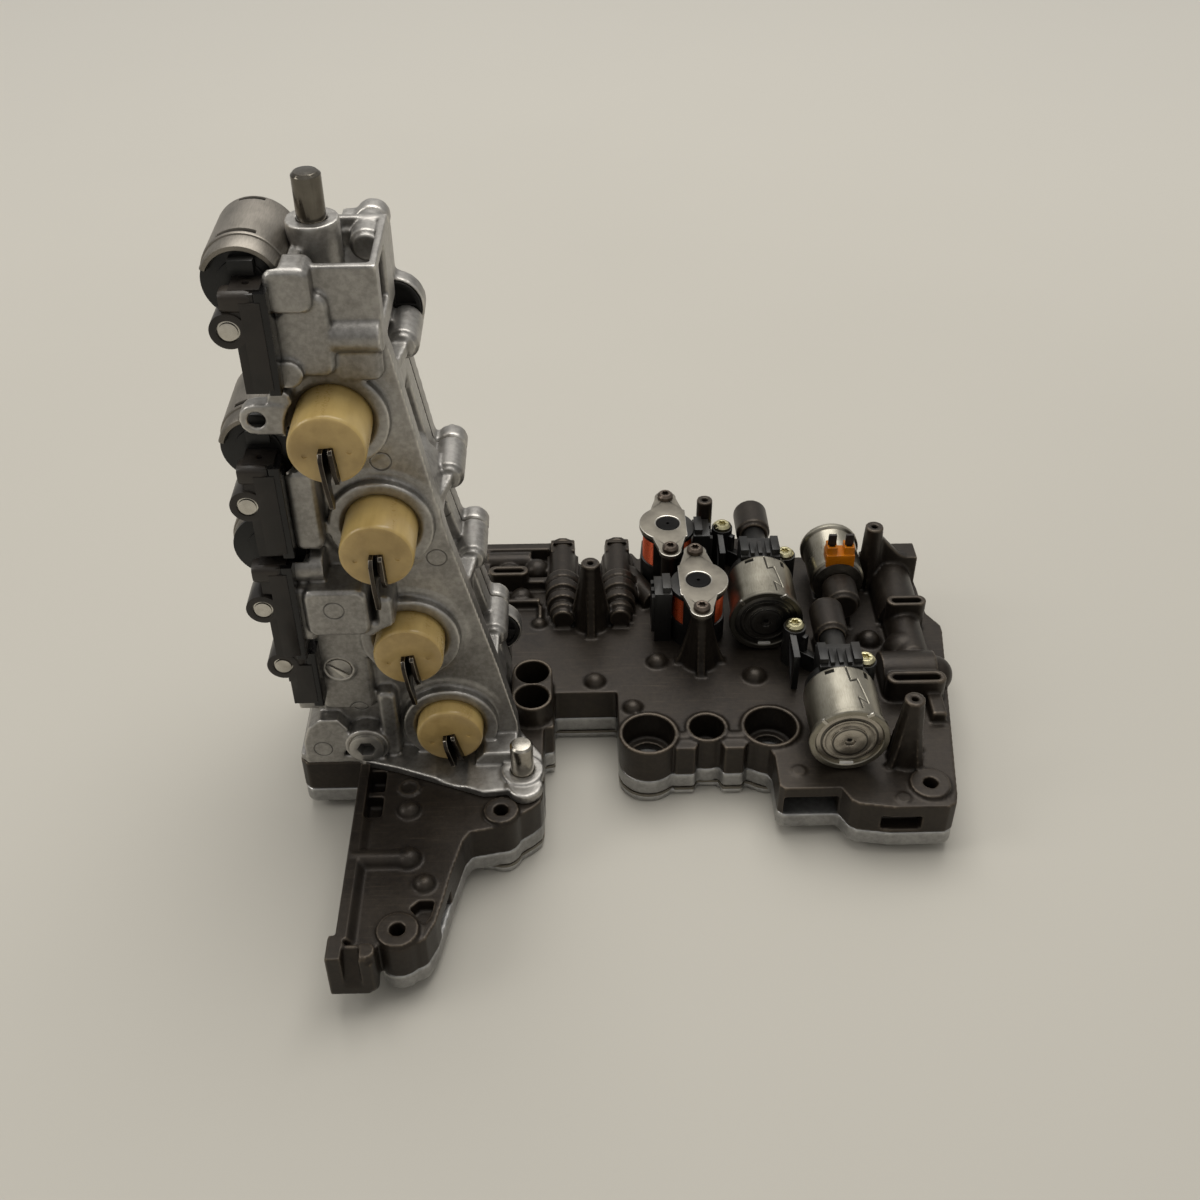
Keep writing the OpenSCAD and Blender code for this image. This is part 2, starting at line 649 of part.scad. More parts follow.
// Pole disc with a raised ring and a button with a hexagon socket, drawn along Z from the front
module pole(r) {
  difference() {
    union() {
      translate([0, 0, 1]) cylinder(r = r - 1.6, h = 1.2);
      translate([0, 0, 0.2]) cylinder(r = 0.72 * r, h = 1);
      translate([0, 0, -0.8]) cylinder(r = button_d / 2, h = 2);
    }
    translate([0, 0, 0.2]) difference() {
      cylinder(r = 0.66 * r, h = 0.5, center = true);
      cylinder(r = button_d / 2 + e, h = 2, center = true);
    }
    translate([0, 0, -2]) cylinder(r = 0.16 * button_d, h = 2.6, $fn = 6);
  }
}

module solenoid_can_1() {
  color(steel) along_y(front_1[0], front_1[1], can_axis) can(can_r, can_l);
}
module solenoid_can_2() {
  color(steel) along_y(front_2[0], front_2[1], can_axis) can(can_r, can_l);
}
module solenoid_can_3() {
  y = rear_3[1] - rear_can_l;
  r = rear_can_d / 2;
  color(steel) {
    translate([rear_3[0], rear_3[1], rear_axis]) rotate([90, 0, 0]) can(r, rear_can_l);
    ycyl(rear_3[0], rear_axis, r - 1.2, y - 2.6, y + e);
    ycyl(rear_3[0], rear_axis, neck_r, nose_3[1] - 8, y);
  }
}
module solenoid_pole_1() {
  color(steel) along_y(front_1[0], front_1[1], can_axis) pole(can_r);
}
module solenoid_pole_2() {
  color(black) along_y(front_2[0], front_2[1], can_axis) pole(can_r);
}
module solenoid_pole_3() {
  color(steel) translate([rear_3[0], rear_3[1], rear_axis]) rotate([90, 0, 0]) pole(rear_can_d / 2);
}

// Plastic collar, plug block and neck behind a can
module connector(front, nose_x, nose_y0) {
  x = front[0];
  y = front[1] + can_l;
  ycyl(x, can_axis, can_r - 1.5, y, y + collar_t);
  box([x - 10, y + 1, can_axis + 4], [x + 10, y + 17, can_axis + can_r - 2]);
  for (s = [-1, 1]) {
    box([x + s * 8 - 2, y + 3, can_axis + can_r - 3], [x + s * 8 + 2, y + 15, can_axis + can_r + 1]);
  }
  for (s = [-4, 0, 4]) {
    box([x + s - 1, y + 2, can_axis + can_r - 3], [x + s + 1, y + 12, can_axis + can_r]);
  }
  ycyl(x, can_axis, neck_r + 3, y + collar_t - e, y + 14);
  ycyl(nose_x, can_axis, neck_r, y + 10, nose_y0 + 8);
}

module solenoid_connector_1() {
  color(black) connector(front_1, 160.5, nose_1[0]);
}
module solenoid_connector_2() {
  color(black) connector(front_2, 131, nose_2[0]);
}
module solenoid_connector_3() {
  y = rear_3[1] - rear_can_l;
  r = rear_can_d / 2;
  color([0.75, 0.48, 0.06]) difference() {
    union() {
      box([rear_3[0] - 7.2, y - 2.4, rear_axis + 7], [rear_3[0] + 7.2, y + 7, rear_axis + r + 4]);
      for (s = [-1, 1]) {
        box([rear_3[0] + s * 4.4 - 2.6, y - 1, rear_axis + r],
          [rear_3[0] + s * 4.4 + 2.6, y + 6, rear_axis + r + 8]);
      }
    }
    ycyl(rear_3[0], rear_axis, r, y, y + 10);
    ycyl(rear_3[0], rear_axis, r - 1.2, y - 3, y + 1);
    for (s = [-4.4, 4.4]) {
      box([rear_3[0] + s - 1.5, y + 0.4, rear_axis + r + 2],
        [rear_3[0] + s + 1.5, y + 4.6, rear_axis + r + 9]);
    }
  }
}
module connector_terminals() {
  y = rear_3[1] - rear_can_l;
  color(steel) for (s = [-4.4, 4.4]) {
    box([rear_3[0] + s - 1.5, y + 0.4, rear_axis + rear_can_d / 2 + 2],
      [rear_3[0] + s + 1.5, y + 4.6, rear_axis + rear_can_d / 2 + 13]);
  }
}

// Plastic bracket: two screw columns, a low wall under the neck and a lattice arm
module bracket(c) {
  d = c[1] - c[0];
  l = norm(d);
  a = atan2(d[1], d[0]);
  difference() {
    union() {
      for (p = c) {
        zcyl(p, column_r, floor_z, bracket_top);
      }
      translate([c[0][0], c[0][1], floor_z]) rotate([0, 0, a]) {
        translate([0, -2, 0]) cube([l, 4, can_z - neck_r - 3.4]);
        translate([column_r - 1, -1.5, 0]) cube([3, 3, can_z]);
        translate([l - column_r - 2, -1.5, 0]) cube([3, 3, can_z]);
      }
      box([c[0][0] - 3, c[0][1] - 22, bracket_top - 6], [c[0][0], c[0][1], bracket_top - 1]);
      box([c[0][0] - 3, c[0][1] - 22, floor_z], [c[0][0], c[0][1] - 18, bracket_top - 1]);
      translate([c[0][0] - 3, c[0][1] - 20, floor_z]) rotate([90, 0, 90]) linear_extrude(3)
        polygon([[0, 0], [4, 0], [20, can_z - 6], [20, can_z - 1], [17, can_z - 1]]);
    }
    for (p = c) {
      zcyl(p, 2, floor_z - e, bracket_top + e);
    }
  }
}

module solenoid_bracket_1() {
  color(black) bracket(bracket_1);
}
module solenoid_bracket_2() {
  color(black) bracket(bracket_2);
}

// Six lobed driver recess
module lobes(r, h) {
  cylinder(r = 0.72 * r, h = h);
  for (a = [0 : 60 : 300]) {
    rotate([0, 0, a]) translate([0.72 * r, 0, 0]) cylinder(r = 0.24 * r, h = h);
  }
}

module bracket_screws() {
  r = bracket_head_d / 2;
  color(steel) for (p = concat(bracket_1, bracket_2)) {
    translate([p[0], p[1], 0]) {
      difference() {
        union() {
          translate([0, 0, bracket_top]) cylinder(r = r, h = 1.4);
          translate([0, 0, bracket_top + 1.4]) cylinder(r1 = r, r2 = 0.72 * r, h = 1.2);
        }
        translate([0, 0, bracket_top + 1]) lobes(0.52 * r, 3);
      }
      translate([0, 0, floor_z - 8]) cylinder(r = 2, h = bracket_top - floor_z + 8);
    }
  }
}

// Outline of a yoke plate before its straight side towards minus X is cut
module yoke_2d() {
  circle(r = yoke_r);
  polygon([[-5.5, -yoke_pitch], [5.5, -yoke_pitch], [9, -10.6], [9, 10.6], [5.5, yoke_pitch],
    [-5.5, yoke_pitch], [-9, 10.6], [-9, -10.6]]);
  for (s = [-1, 1]) {
    translate([0, s * yoke_pitch]) circle(r = 5.8);
  }
}

module yoke_plate(c, turn) {
  color(steel) translate([c[0], c[1], yoke_under]) rotate([0, 0, turn]) difference() {
    linear_extrude(yoke_t) yoke_2d();
    box([-yoke_r - 1, -yoke_r, -e], [-yoke_flat, yoke_r, yoke_t + e]);
    translate([0, 0, -e]) cylinder(r = pole_r, h = yoke_t + 2 * e);
    translate([0, 0, yoke_t - 0.6]) cylinder(r1 = pole_r, r2 = pole_r + 0.8, h = 0.8);
    for (s = [-1, 1]) {
      translate([0, s * yoke_pitch, -e]) cylinder(r = 2.1, h = yoke_t + 2 * e);
    }
  }
}
module yoke_plate_1() { yoke_plate(yoke_1, 180); }
module yoke_plate_2() { yoke_plate(yoke_2, 0); }

// Bobbin with foot, flanges, pole and the plug block on the straight side
module coil_frame(c, turn) {
  color(black) translate([c[0], c[1], 0]) rotate([0, 0, turn]) difference() {
    union() {
      translate([0, 0, floor_z]) cylinder(r = winding_r + 1, h = coil_foot);
      translate([0, 0, floor_z]) cylinder(r = 0.58 * winding_r, h = yoke_under - floor_z);
      translate([0, 0, yoke_under - flange_t]) cylinder(r = winding_r + 1, h = flange_t);
      intersection() {
        difference() {
          translate([0, 0, floor_z]) cylinder(r = winding_r + 1, h = yoke_z - yoke_t);
          translate([0, 0, floor_z - e]) cylinder(r = winding_r, h = yoke_z);
        }
        box([-8, -winding_r - 2, floor_z], [8, winding_r + 2, yoke_under]);
      }
      translate([0, 0, yoke_under - 1]) cylinder(r = pole_r, h = yoke_t + 0.8);
      box([-winding_r - 9, -7.5, floor_z], [-winding_r - 0.4, 7.5, yoke_under - 1]);
      for (s = [-5.6, 0, 5.6]) {
        box([-winding_r - 10.5, s - 1.4, floor_z + 6], [-winding_r - 8.5, s + 1.4, yoke_under - 3]);
      }
      box([-winding_r - 5, -6, yoke_under - 1], [-winding_r - 1, 6, yoke_under + 2]);
    }
    for (s = [-1, 1]) {
      translate([0, s * yoke_pitch, 0]) cylinder(r = post_top_d / 2, h = yoke_under);
    }
    translate([0, 0, yoke_top - 2.4]) cylinder(r = 0.9, h = 4);
  }
}
module coil_frame_1() { coil_frame(yoke_1, 180); }
module coil_frame_2() { coil_frame(yoke_2, 0); }

module coil_winding(c) {
  color(copper) translate([c[0], c[1], 0]) difference() {
    translate([0, 0, floor_z + coil_foot])
      cylinder(r = winding_r, h = yoke_under - flange_t - floor_z - coil_foot);
    translate([0, 0, floor_z]) cylinder(r = 0.58 * winding_r, h = yoke_z);
  }
}
module coil_winding_1() { coil_winding(yoke_1); }
module coil_winding_2() { coil_winding(yoke_2); }

module yoke_screws() {
  color(steel) for (c = [yoke_1, yoke_2]) {
    for (s = [-1, 1]) {
      translate([c[0], c[1] + s * yoke_pitch, 0]) {
        difference() {
          union() {
            translate([0, 0, yoke_top]) cylinder(r = 4.2, h = 1.8);
            translate([0, 0, yoke_top + 1.8]) cylinder(r1 = 4.2, r2 = 3, h = 1.2);
          }
          translate([0, 0, yoke_top + 1.2]) lobes(2.2, 3);
        }
        translate([0, 0, yoke_under - 12]) cylinder(r = 2, h = yoke_t + 12);
      }
    }
  }
}

// Outline of the upright block between its ridge and its left side, in X and Z
module block_2d(grow) {
  side = [for (q = ridge) [q[1] + grow, q[0]]];
  left = [[-34 + grow, block_top], [-73, block_top], [-73, 214], [-79, 206], [-80, 150]];
  polygon(concat([[-80, floor_z]], side, left));
}

// Outline of the flange at the joint of the two halves, in X and Z, with bosses of a given radius
module flange_2d(boss) {
  block_2d(-4);
  for (p = bosses_at) {
    translate(p) circle(r = boss);
    translate([p[0] - 12, p[1] - 2.6]) square([12, 5.2]);
  }
  polygon([[-96, floor_z], [-70, floor_z], [-70, 215], [-90, 210], [-96, 150]]);
  root = min(block_top - 2, bolts_at[3][1] - 13);
  polygon([[-66, root], [-35, root], [-35, 268], [-41, 268 + bolt_boss_r], [-66, 264]]);
}

// Ring bosses, pads and lugs on the face of the front casting
module face_relief() {
  for (p = pistons) {
    ycyl(p[0], p[1], ring_r, face_y, split_y);
    ycyl(p[0], p[1], ring_r + 3, face_y + 4.5, split_y - 12);
  }
  top = box_top - 279;
  pad([-73.2, 264 + top], [-56.7, 281.5 + top], 27, 4);
  pad([-73.2, 236], [-52, 270 + top], 31, 5);
  ycyl(-69.4, 239, 5.6, 28, back_y + 1);
  difference() {
    translate([-53, 37, 251]) rotate([0, 90, 0]) cylinder(r = 6.5, h = 18.5);
    selector_pocket();
  }
  pad([-54, 232], [-35, 251], 34.5, 4);
  pad([-79, 192], [-64, 207], 30, 4);
  pad([-78, 158], [-66, 196], 28, 3.5);
  translate([-81, 34, 147]) rotate([0, 90, 0]) cylinder(r = 7, h = 13);
  pad([-81.4, 112], [-68, 150], 30, 3);
  pad([-81.4, 113], [-74, 141], 24, 2.5);
  pad([-77, 118], [-51, 142], 21, 4);
  pad([-56, 114], [-41, 122], 25, 3);
  pad([-48.5, 114], [-41, 135], 25, 3);
  pad([-80, 62], [-56, 116], 36, 4);
  pad([-55, floor_z + 4], [-46.5, 74], 33, 3.5);
  slab(33, back_y + 20) polygon([[-91, floor_z], [-75, floor_z], [-71, 42], [-70, 52], [-74, 58], [-82, 58],
    [-88, 53], [-91, 44]]);
  ycyl(socket_plug_at[0], socket_plug_at[1], 10, 31, back_y + 1);
  ycyl(slot_plug_at[0], slot_plug_at[1], 7, 35.4, back_y + 1);
  box([-92, cap_y + 5, 58], [-79, back_y + 20, 104]);
  slab(28, cap_y - 1.2) round_2d([-90.6, 213.4], [-71, 226.6], 6.2);
  slab(29, back_y + 1) round_2d([-79, 212], [-70, 232], 4);
  box([-80, cap_y + 0.5, 234], [-70, back_y + 6, 255]);
}

// Rectangle with its corners rounded off in three steps, in X and Z
module round_2d(a, b, r) {
  corners = [[b[0] - r, b[1] - r], [a[0] + r, b[1] - r], [a[0] + r, a[1] + r], [b[0] - r, a[1] + r]];
  polygon([for (i = [0 : 3]) for (j = [0 : 3]) corners[i] + r * [cos(90 * i + 30 * j), sin(90 * i + 30 * j)]]);
}

// Cast pad on the face with round corners and a step round its edge
module pad(a, b, y, r) {
  slab(y + 1.2, back_y + 1) round_2d(a, b, r);
  slab(y, y + 2) round_2d(a + [1.2, 1.2], b - [1.2, 1.2], r - 1.2);
}

// Web from the ridge to a bolt boss, drawn in X and Y
module web(p) {
  x = lookup(p[1], ridge);
  translate([0, 0, p[1] - 2.5]) linear_extrude(5)
    polygon([[x - pocket_d - 2, back_y + 2], [x - 1, back_y + 2], [p[0] + 3, split_y - 20],
      [p[0] + 3, split_y - 5], [p[0] - 14, split_y - 5]]);
}

// Pocket of the selector box, open at the top
module selector_pocket() {
  box([box_x[0] + 2 * box_wall, box_y[0] + box_wall, block_top + 4],
    [box_x[1] - 0.8 * box_wall, box_y[1] - box_wall, box_top + 1]);
}

// Selector box with its open top, a window in its right side and the boss of the parking rod
module selector_box() {
  difference() {
    box([box_x[0], box_y[0], block_top - e], [box_x[1], box_y[1], box_top]);
    selector_pocket();
    box([box_x[1] - 2 * box_wall, box_y[0] + 2.4 * box_wall, block_top + 8],
      [box_x[1] + 1, box_y[1] - 5 * box_wall, box_top - 1.2 * box_wall]);
  }
  translate([-51, 0, block_top]) rotate([90, 0, 90]) linear_extrude(15.4)
    polygon([[box_y[1] - 16, 2], [box_y[1] - 1, 2], [box_y[1] - 1, box_h - block_h - 4]]);
  zcyl(rod_at, rod_boss_r, block_top, rod_boss_top);
  box([box_x[0] + 1, rod_at[1] - 8, block_top], [rod_at[0], rod_at[1] + 8, box_top - 2]);
  box([rod_at[0] - 7, rod_at[1], block_top], [rod_at[0] + 7, box_y[1] - 1, box_top - 2]);
}

// Flange at the foot of the block that stands on the plate
module foot() {
  translate([0, 0, floor_z]) linear_extrude(4)
    polygon([[-94, 36], [-91, 33.5], [-67, 33], [-64, 30], [-48.7, 25.5], [-23.6, 15.5], [-8, 9], [3, 10],
      [19, 21], [18, 32], [8, 48], [2, 52], [2, 85], [-94, 85]]);
  zcyl(dowel_at, 9.6, floor_z, floor_z + 6);
  zcyl([10.5, 12.5], 8, floor_z, floor_z + 5);
  box([-12, 26, floor_z], [7, 45, floor_z + 11]);
}

module front_casting() {
  color(silver) difference() {
    union() {
      slab(back_y, back_y + ridge_t) block_2d(0);
      slab(back_y + 1, split_y) block_2d(-pocket_d);
      for (i = [0 : 3]) {
        web(bosses_at[i]);
      }
      slab(split_y - 11, split_y) flange_2d(bolt_boss_r);
      for (p = bosses_at) {
        y = p[1] > block_top ? split_y - 19 : split_y - 21;
        ycyl(p[0], p[1], bolt_boss_r, y, split_y);
        ycyl(p[0], p[1], bolt_boss_r - 1.4, y - 2, split_y);
      }
      face_relief();
      selector_box();
      foot();
      for (p = side_at) {
        ycyl(p[0], p[1], side_r - 5, side_end - 2, split_y - 3);
      }
      box([-84, side_end + 1, side_at[0][1] - 11], [-66, split_y - 3, side_at[0][1] + 3]);
      box([-52, box_y[1] - 2, block_top - e], [-35, split_y, 268]);
    }
    for (p = pistons) {
      ycyl(p[0], p[1], bore_r, face_y - 1, bore_end);
      ycyl(p[0], p[1], bore_r + 2.6, 0, face_y);
      along_y(p[0], face_y - 0.01, p[1]) cylinder(r1 = bore_r + 1.8, r2 = bore_r, h = 2.2);
    }
    zcyl(rod_at, rod_r + rod_fit, rod_bottom - rod_travel - 0.5, rod_boss_top + 1);
    for (p = side_at) {
      ycyl(p[0], p[1], side_r + 0.3, cap_y - 6.5, side_end);
    }
    for (p = bolts_at) {
      ycyl(p[0], p[1], bolt_d / 2, split_y - 16, split_y + e);
    }
    ycyl(-84, 220, 3.4, 26, cap_y);
    box([-120, 0, 0], [40, split_y + e, floor_z]);
    ycyl(socket_plug_at[0], socket_plug_at[1], 7.8, 30, 40);
    ycyl(slot_plug_at[0], slot_plug_at[1], 5.5, 30, 44);
    zcyl(dowel_at, dowel_d / 2, floor_z - e, floor_z + 8);
    box([2.8, 50, floor_z - 1], [30, 100, floor_z + pair_h + 2]);
    for (i = [0 : 3]) {
      box([strips[i][0] - 12, strip_y - 9, strips[i][2] - 0.3],
        [strips[i][1] + 0.3, cap_y + (i == 3 ? 5 : 0), strips[i][3] + 0.3]);
    }
  }
}

module upright_separator() {
  color(steel) difference() {
    slab(sep_y, rear_y) flange_2d(bolt_boss_r - 2.2);
    for (p = bolts_at) {
      ycyl(p[0], p[1], bolt_d / 2 + 0.2, sep_y - e, rear_y + e);
    }
    box([2.8, 50, floor_z - 1], [30, 100, floor_z + pair_h + 2]);
  }
}

module rear_casting() {
  color(silver) difference() {
    union() {
      slab(rear_y, rear_y + rear_flange_t) flange_2d(bolt_boss_r);
      for (p = end_caps_at) {
        ycyl(p[0], p[1], end_cap_r + 1.4, rear_y, rear_y + rear_flange_t);
      }
      slab(rear_y, rear_y + rear_t)
        polygon([[-86, floor_z], [-12, floor_z], [-14, 70], [-44, 226], [-70, 232], [-86, 150]]);
      for (z = [66, 112, 158, 204]) {
        ycyl(-50 - (z - 66) * 0.08, z, 17, rear_y, rear_y + rear_t + 3);
      }
      slab(rear_y, rear_y + rear_t - 12) polygon([[-80, 226], [-44, 222], [-44, 260], [-80, 262]]);
      for (z = [89, 135, 181]) {
        box([-84.5, rear_y, z - 2], [-4 - 0.192 * z, rear_y + rear_t + 1.6, z + 2]);
      }
      ycyl(-62, 246, 9, rear_y, rear_y + rear_t - 8);
    }
    for (p = bolts_at) {
      ycyl(p[0], p[1], bolt_d / 2 + 0.2, rear_y - e, rear_y + rear_t + 5);
      ycyl(p[0], p[1], bolt_head_r + 0.2, rear_y + rear_flange_t - bolt_sink, rear_y + rear_t + 5);
    }
    for (p = end_caps_at) {
      ycyl(p[0], p[1], end_cap_r, rear_y - e, rear_y + end_cap_t);
    }
    box([2.8, 50, floor_z - 1], [30, 130, floor_z + pair_h + 2]);
  }
}

module upright_bolts() {
  y = rear_y + rear_flange_t - bolt_sink;
  color(steel) for (p = bolts_at) {
    difference() {
      ycyl(p[0], p[1], bolt_head_r, y, y + bolt_sink - 0.4);
      along_y(p[0], y + 2, p[1]) cylinder(r = 0.42 * bolt_d, h = bolt_sink, $fn = 6);
    }
    ycyl(p[0], p[1], bolt_d / 2, split_y - 15.5, y);
  }
}

// Piston drawn along Z from its face, with the slot that holds the finger
module piston() {
  r = piston_r;
  difference() {
    rotate_extrude() polygon([[0, 0], [r - 2, 0], [r - 0.8, 0.5], [r - 0.2, 1.3], [r, 2.2], [r, piston_l - 1],
      [r - 1, piston_l], [0, piston_l]]);
    translate([-finger_w / 2 - 0.1, -1.6, -e]) cube([finger_w + 0.2, r + 3, 8 + e]);
    for (s = [-8.5, 8.5]) {
      translate([s, 1, -e]) cylinder(r = 1, h = 0.4 + e);
    }
  }
}

// Side of a finger, drawn in Y and Z and extruded along X from a place
module tine(x) {
  translate([x, 0, 0]) rotate([90, 0, 90]) linear_extrude(finger_t) children();
}

// Forked finger drawn along Z from the piston face, its long tine down towards plus Y
module finger(reach) {
  r = piston_r;
  tine(-finger_w / 2) polygon([[-1.6, 8], [-1.6, -3.4], [0.4, -5.6], [3, -6.2], [r - 3, -6.6],
    [r + reach - 1, -5.4], [r + reach, -4.4], [r + reach, -2.6], [r + reach - 1, -1.6], [r - 1, -0.8],
    [r - 2, 0.6], [r - 2, 8]]);
  tine(finger_w / 2 - finger_t) polygon([[-1.6, 8], [-1.6, -1.8], [-0.4, -3], [r - 6, -3.8],
    [r - 1.6, -2.4], [r - 1.6, -0.6], [r - 2, 0.6], [r - 2, 8]]);
  box([-finger_w / 2, -1.6, 3], [finger_w / 2, r - 3, 8]);
}

module piston_place(i) {
  p = pistons[i];
  translate([p[0], face_y - p[2], p[1]]) rotate([0, p[3], 0]) rotate([-90, 0, 0]) children();
}
module shift_piston_1() { color(ivory) piston_place(0) piston(); }
module shift_piston_2() { color(ivory) piston_place(1) piston(); }
module shift_piston_3() { color(ivory) piston_place(2) piston(); }
module shift_piston_4() { color(ivory) piston_place(3) piston(); }
module shift_finger_1() { color(iron) piston_place(0) finger(finger_reach); }
module shift_finger_2() { color(iron) piston_place(1) finger(finger_reach); }
module shift_finger_3() { color(iron) piston_place(2) finger(finger_reach); }
module shift_finger_4() { color(iron) piston_place(3) finger(min(finger_reach - 9, -1)); }

module parking_rod() {
  color(steel) translate([rod_at[0], rod_at[1], rod_bottom]) rotate_extrude()
    polygon([[0, 0], [rod_r - 1, 0], [rod_r, 1], [rod_r, rod_l - 1.2], [rod_r - 1.2, rod_l], [0, rod_l]]);
}

module side_can(i) {
  color(silver) along_y(side_at[i][0], side_y, side_at[i][1])
    rotate_extrude() polygon([[0, 0], [side_r, 0], [side_r, side_l - 2], [side_r - 2, side_l], [0, side_l]]);
}
module side_can_1() { side_can(0); }
module side_can_2() { side_can(1); }
module side_can_3() { side_can(2); }

module side_cap(i) {
  p = side_at[i];
  color(black) {
    ycyl(p[0], p[1], cap_r, cap_y, side_y);
    ycyl(p[0], p[1], 0.6 * cap_r, cap_y - 1, side_y);
    if (i < 2) {
      box([p[0] - 3, cap_y - 5, p[1] + 5], [p[0] + 6, cap_y + 1, p[1] + 10.5]);
    }
  }
}
module side_cap_1() { side_cap(0); }
module side_cap_2() { side_cap(1); }
module side_cap_3() { side_cap(2); }

module retainer_strip(i, y0, y1) {
  q = strips[i];
  p = pins_at[i];
  w = q[1] - q[0];
  color(black) difference() {
    union() {
      box([q[0], y0 + 2, q[2]], [q[1], y1, q[3]]);
      box([q[0] + 0.35 * w, y0 - 1, q[2] + 3], [q[1], y0 + 3, q[3] - 4]);
      box([q[0], y0, q[3] - 14], [q[1] - 0.2 * w, y0 + 3, q[3] - 1]);
      ycyl(p[0], p[1], pin_r + 2.6, y0 - 1, y1);
    }
    ycyl(p[0], p[1], pin_r, y0 - 2, y0 + 5);
    zcyl([q[0] + w / 2, (y0 + y1) / 2 + 1], 1.4, q[3] - 6, q[3] + 1);
  }
}
module retainer_strip_1() { retainer_strip(0, strip_y, cap_y - 1); }
module retainer_strip_2() { retainer_strip(1, strip_y, cap_y - 1); }
module retainer_strip_3() { retainer_strip(2, strip_y, cap_y - 1); }
module retainer_strip_4() { retainer_strip(3, strip_y + 6, cap_y + 5); }

module retainer_pins() {
  color(steel) for (i = [0 : 3]) {
    y = strip_y + (i == 3 ? 6 : 0);
    ycyl(pins_at[i][0], pins_at[i][1], pin_r, y - 0.4, y + 5);
    ycyl(pins_at[i][0], pins_at[i][1], pin_r - 0.8, y - 1.2, y);
  }
}

module socket_plug() {
  x = socket_plug_at[0];
  z = socket_plug_at[1];
  color(silver) difference() {
    ycyl(x, z, 7.8, 29.4, 40);
    along_y(x, 28, z) cylinder(r = 4.4, h = 7, $fn = 6);
  }
}

module slotted_plug() {
  x = slot_plug_at[0];
  z = slot_plug_at[1];
  color(silver) difference() {
    ycyl(x, z, 5.5, 35.4, 44);
    translate([x, 35, z]) rotate([0, 35, 0]) cube([12, 3, 1.2], center = true);
  }
}

module locating_dowel() {
  r = dowel_d / 2;
  color(steel) translate([dowel_at[0], dowel_at[1], floor_z - 8]) rotate_extrude()
    polygon([[0, 0], [r, 0], [r, dowel_h + 7], [r - 1, dowel_h + 8], [0, dowel_h + 8]]);
}

module end_cap(p) {
  color(black) difference() {
    ycyl(p[0], p[1], end_cap_r, rear_y, rear_y + end_cap_t);
    for (a = [0 : 90 : 270]) {
      translate([p[0], rear_y + 1.5, p[1]]) rotate([90, a, 0]) linear_extrude(3) intersection() {
        circle(r = end_cap_r - 1.8);
        translate([0.9, 0.9]) square(end_cap_r);
      }
    }
  }
}
module upper_end_cap() { end_cap(end_caps_at[0]); }
module lower_end_cap() { end_cap(end_caps_at[1]); }

bottom_cover();
separator_plate();
lower_valve_body();
upper_valve_body();
cover_screws();
spool_valve_1();
spool_valve_2();
spool_spring_1();
spool_spring_2();
bore_plugs();
retainer_clips();
solenoid_can_1();
solenoid_can_2();
solenoid_can_3();
solenoid_pole_1();
solenoid_pole_2();
solenoid_pole_3();
solenoid_connector_1();
solenoid_connector_2();
solenoid_connector_3();
connector_terminals();
solenoid_bracket_1();
solenoid_bracket_2();
bracket_screws();
coil_frame_1();
coil_frame_2();
coil_winding_1();
coil_winding_2();
yoke_plate_1();
yoke_plate_2();
yoke_screws();
front_casting();
upright_separator();
rear_casting();
upright_bolts();
shift_piston_1();
shift_piston_2();
shift_piston_3();
shift_piston_4();
shift_finger_1();
shift_finger_2();
shift_finger_3();
shift_finger_4();
parking_rod();
side_can_1();
side_can_2();
side_can_3();
side_cap_1();
side_cap_2();
side_cap_3();
retainer_strip_1();
retainer_strip_2();
retainer_strip_3();
retainer_strip_4();
retainer_pins();
socket_plug();
slotted_plug();
locating_dowel();
upper_end_cap();
lower_end_cap();
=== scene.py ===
"""Looks of a gearbox valve body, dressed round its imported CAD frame.

The castings are cast again from their CAD solids with soft fillets, the cans, windings and small
marks are worked out as parametric surfaces, and every finish is a procedural material.
"""

import functools
import json
import logging
import math
from dataclasses import dataclass
from enum import Enum

import bmesh
import bpy
import numpy as np
from mathutils import Matrix, Vector


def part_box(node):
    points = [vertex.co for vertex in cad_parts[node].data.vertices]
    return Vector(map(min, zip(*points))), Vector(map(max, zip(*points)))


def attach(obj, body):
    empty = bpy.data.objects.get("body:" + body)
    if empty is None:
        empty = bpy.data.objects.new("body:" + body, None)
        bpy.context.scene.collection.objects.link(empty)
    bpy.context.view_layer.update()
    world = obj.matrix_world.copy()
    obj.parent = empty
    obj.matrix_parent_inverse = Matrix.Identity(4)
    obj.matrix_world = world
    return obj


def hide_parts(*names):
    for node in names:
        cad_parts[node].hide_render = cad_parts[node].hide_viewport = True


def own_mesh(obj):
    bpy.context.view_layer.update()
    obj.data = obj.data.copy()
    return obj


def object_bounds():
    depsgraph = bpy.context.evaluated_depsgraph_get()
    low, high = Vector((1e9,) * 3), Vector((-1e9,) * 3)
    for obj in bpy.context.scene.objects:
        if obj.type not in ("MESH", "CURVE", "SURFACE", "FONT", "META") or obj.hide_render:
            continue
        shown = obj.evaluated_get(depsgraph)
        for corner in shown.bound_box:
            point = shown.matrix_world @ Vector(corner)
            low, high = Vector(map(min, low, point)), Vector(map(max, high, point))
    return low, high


LOG = logging.getLogger("valve_body")
MM = 0.001
HOUSING = "housing"
CAN_SLOT = "can_steel"
PLASTIC_SLOT = "black_plastic"
# Points closer than the first are merged, and edges shorter than the second go, in metres
WELD, SLIVER = 1e-6, 1e-7
# Angles in degrees past which an edge is bevelled, and shaded sharp on a bevelled piece
BEVEL_ANGLE, SHARP_ANGLE = 38.0, 40.0
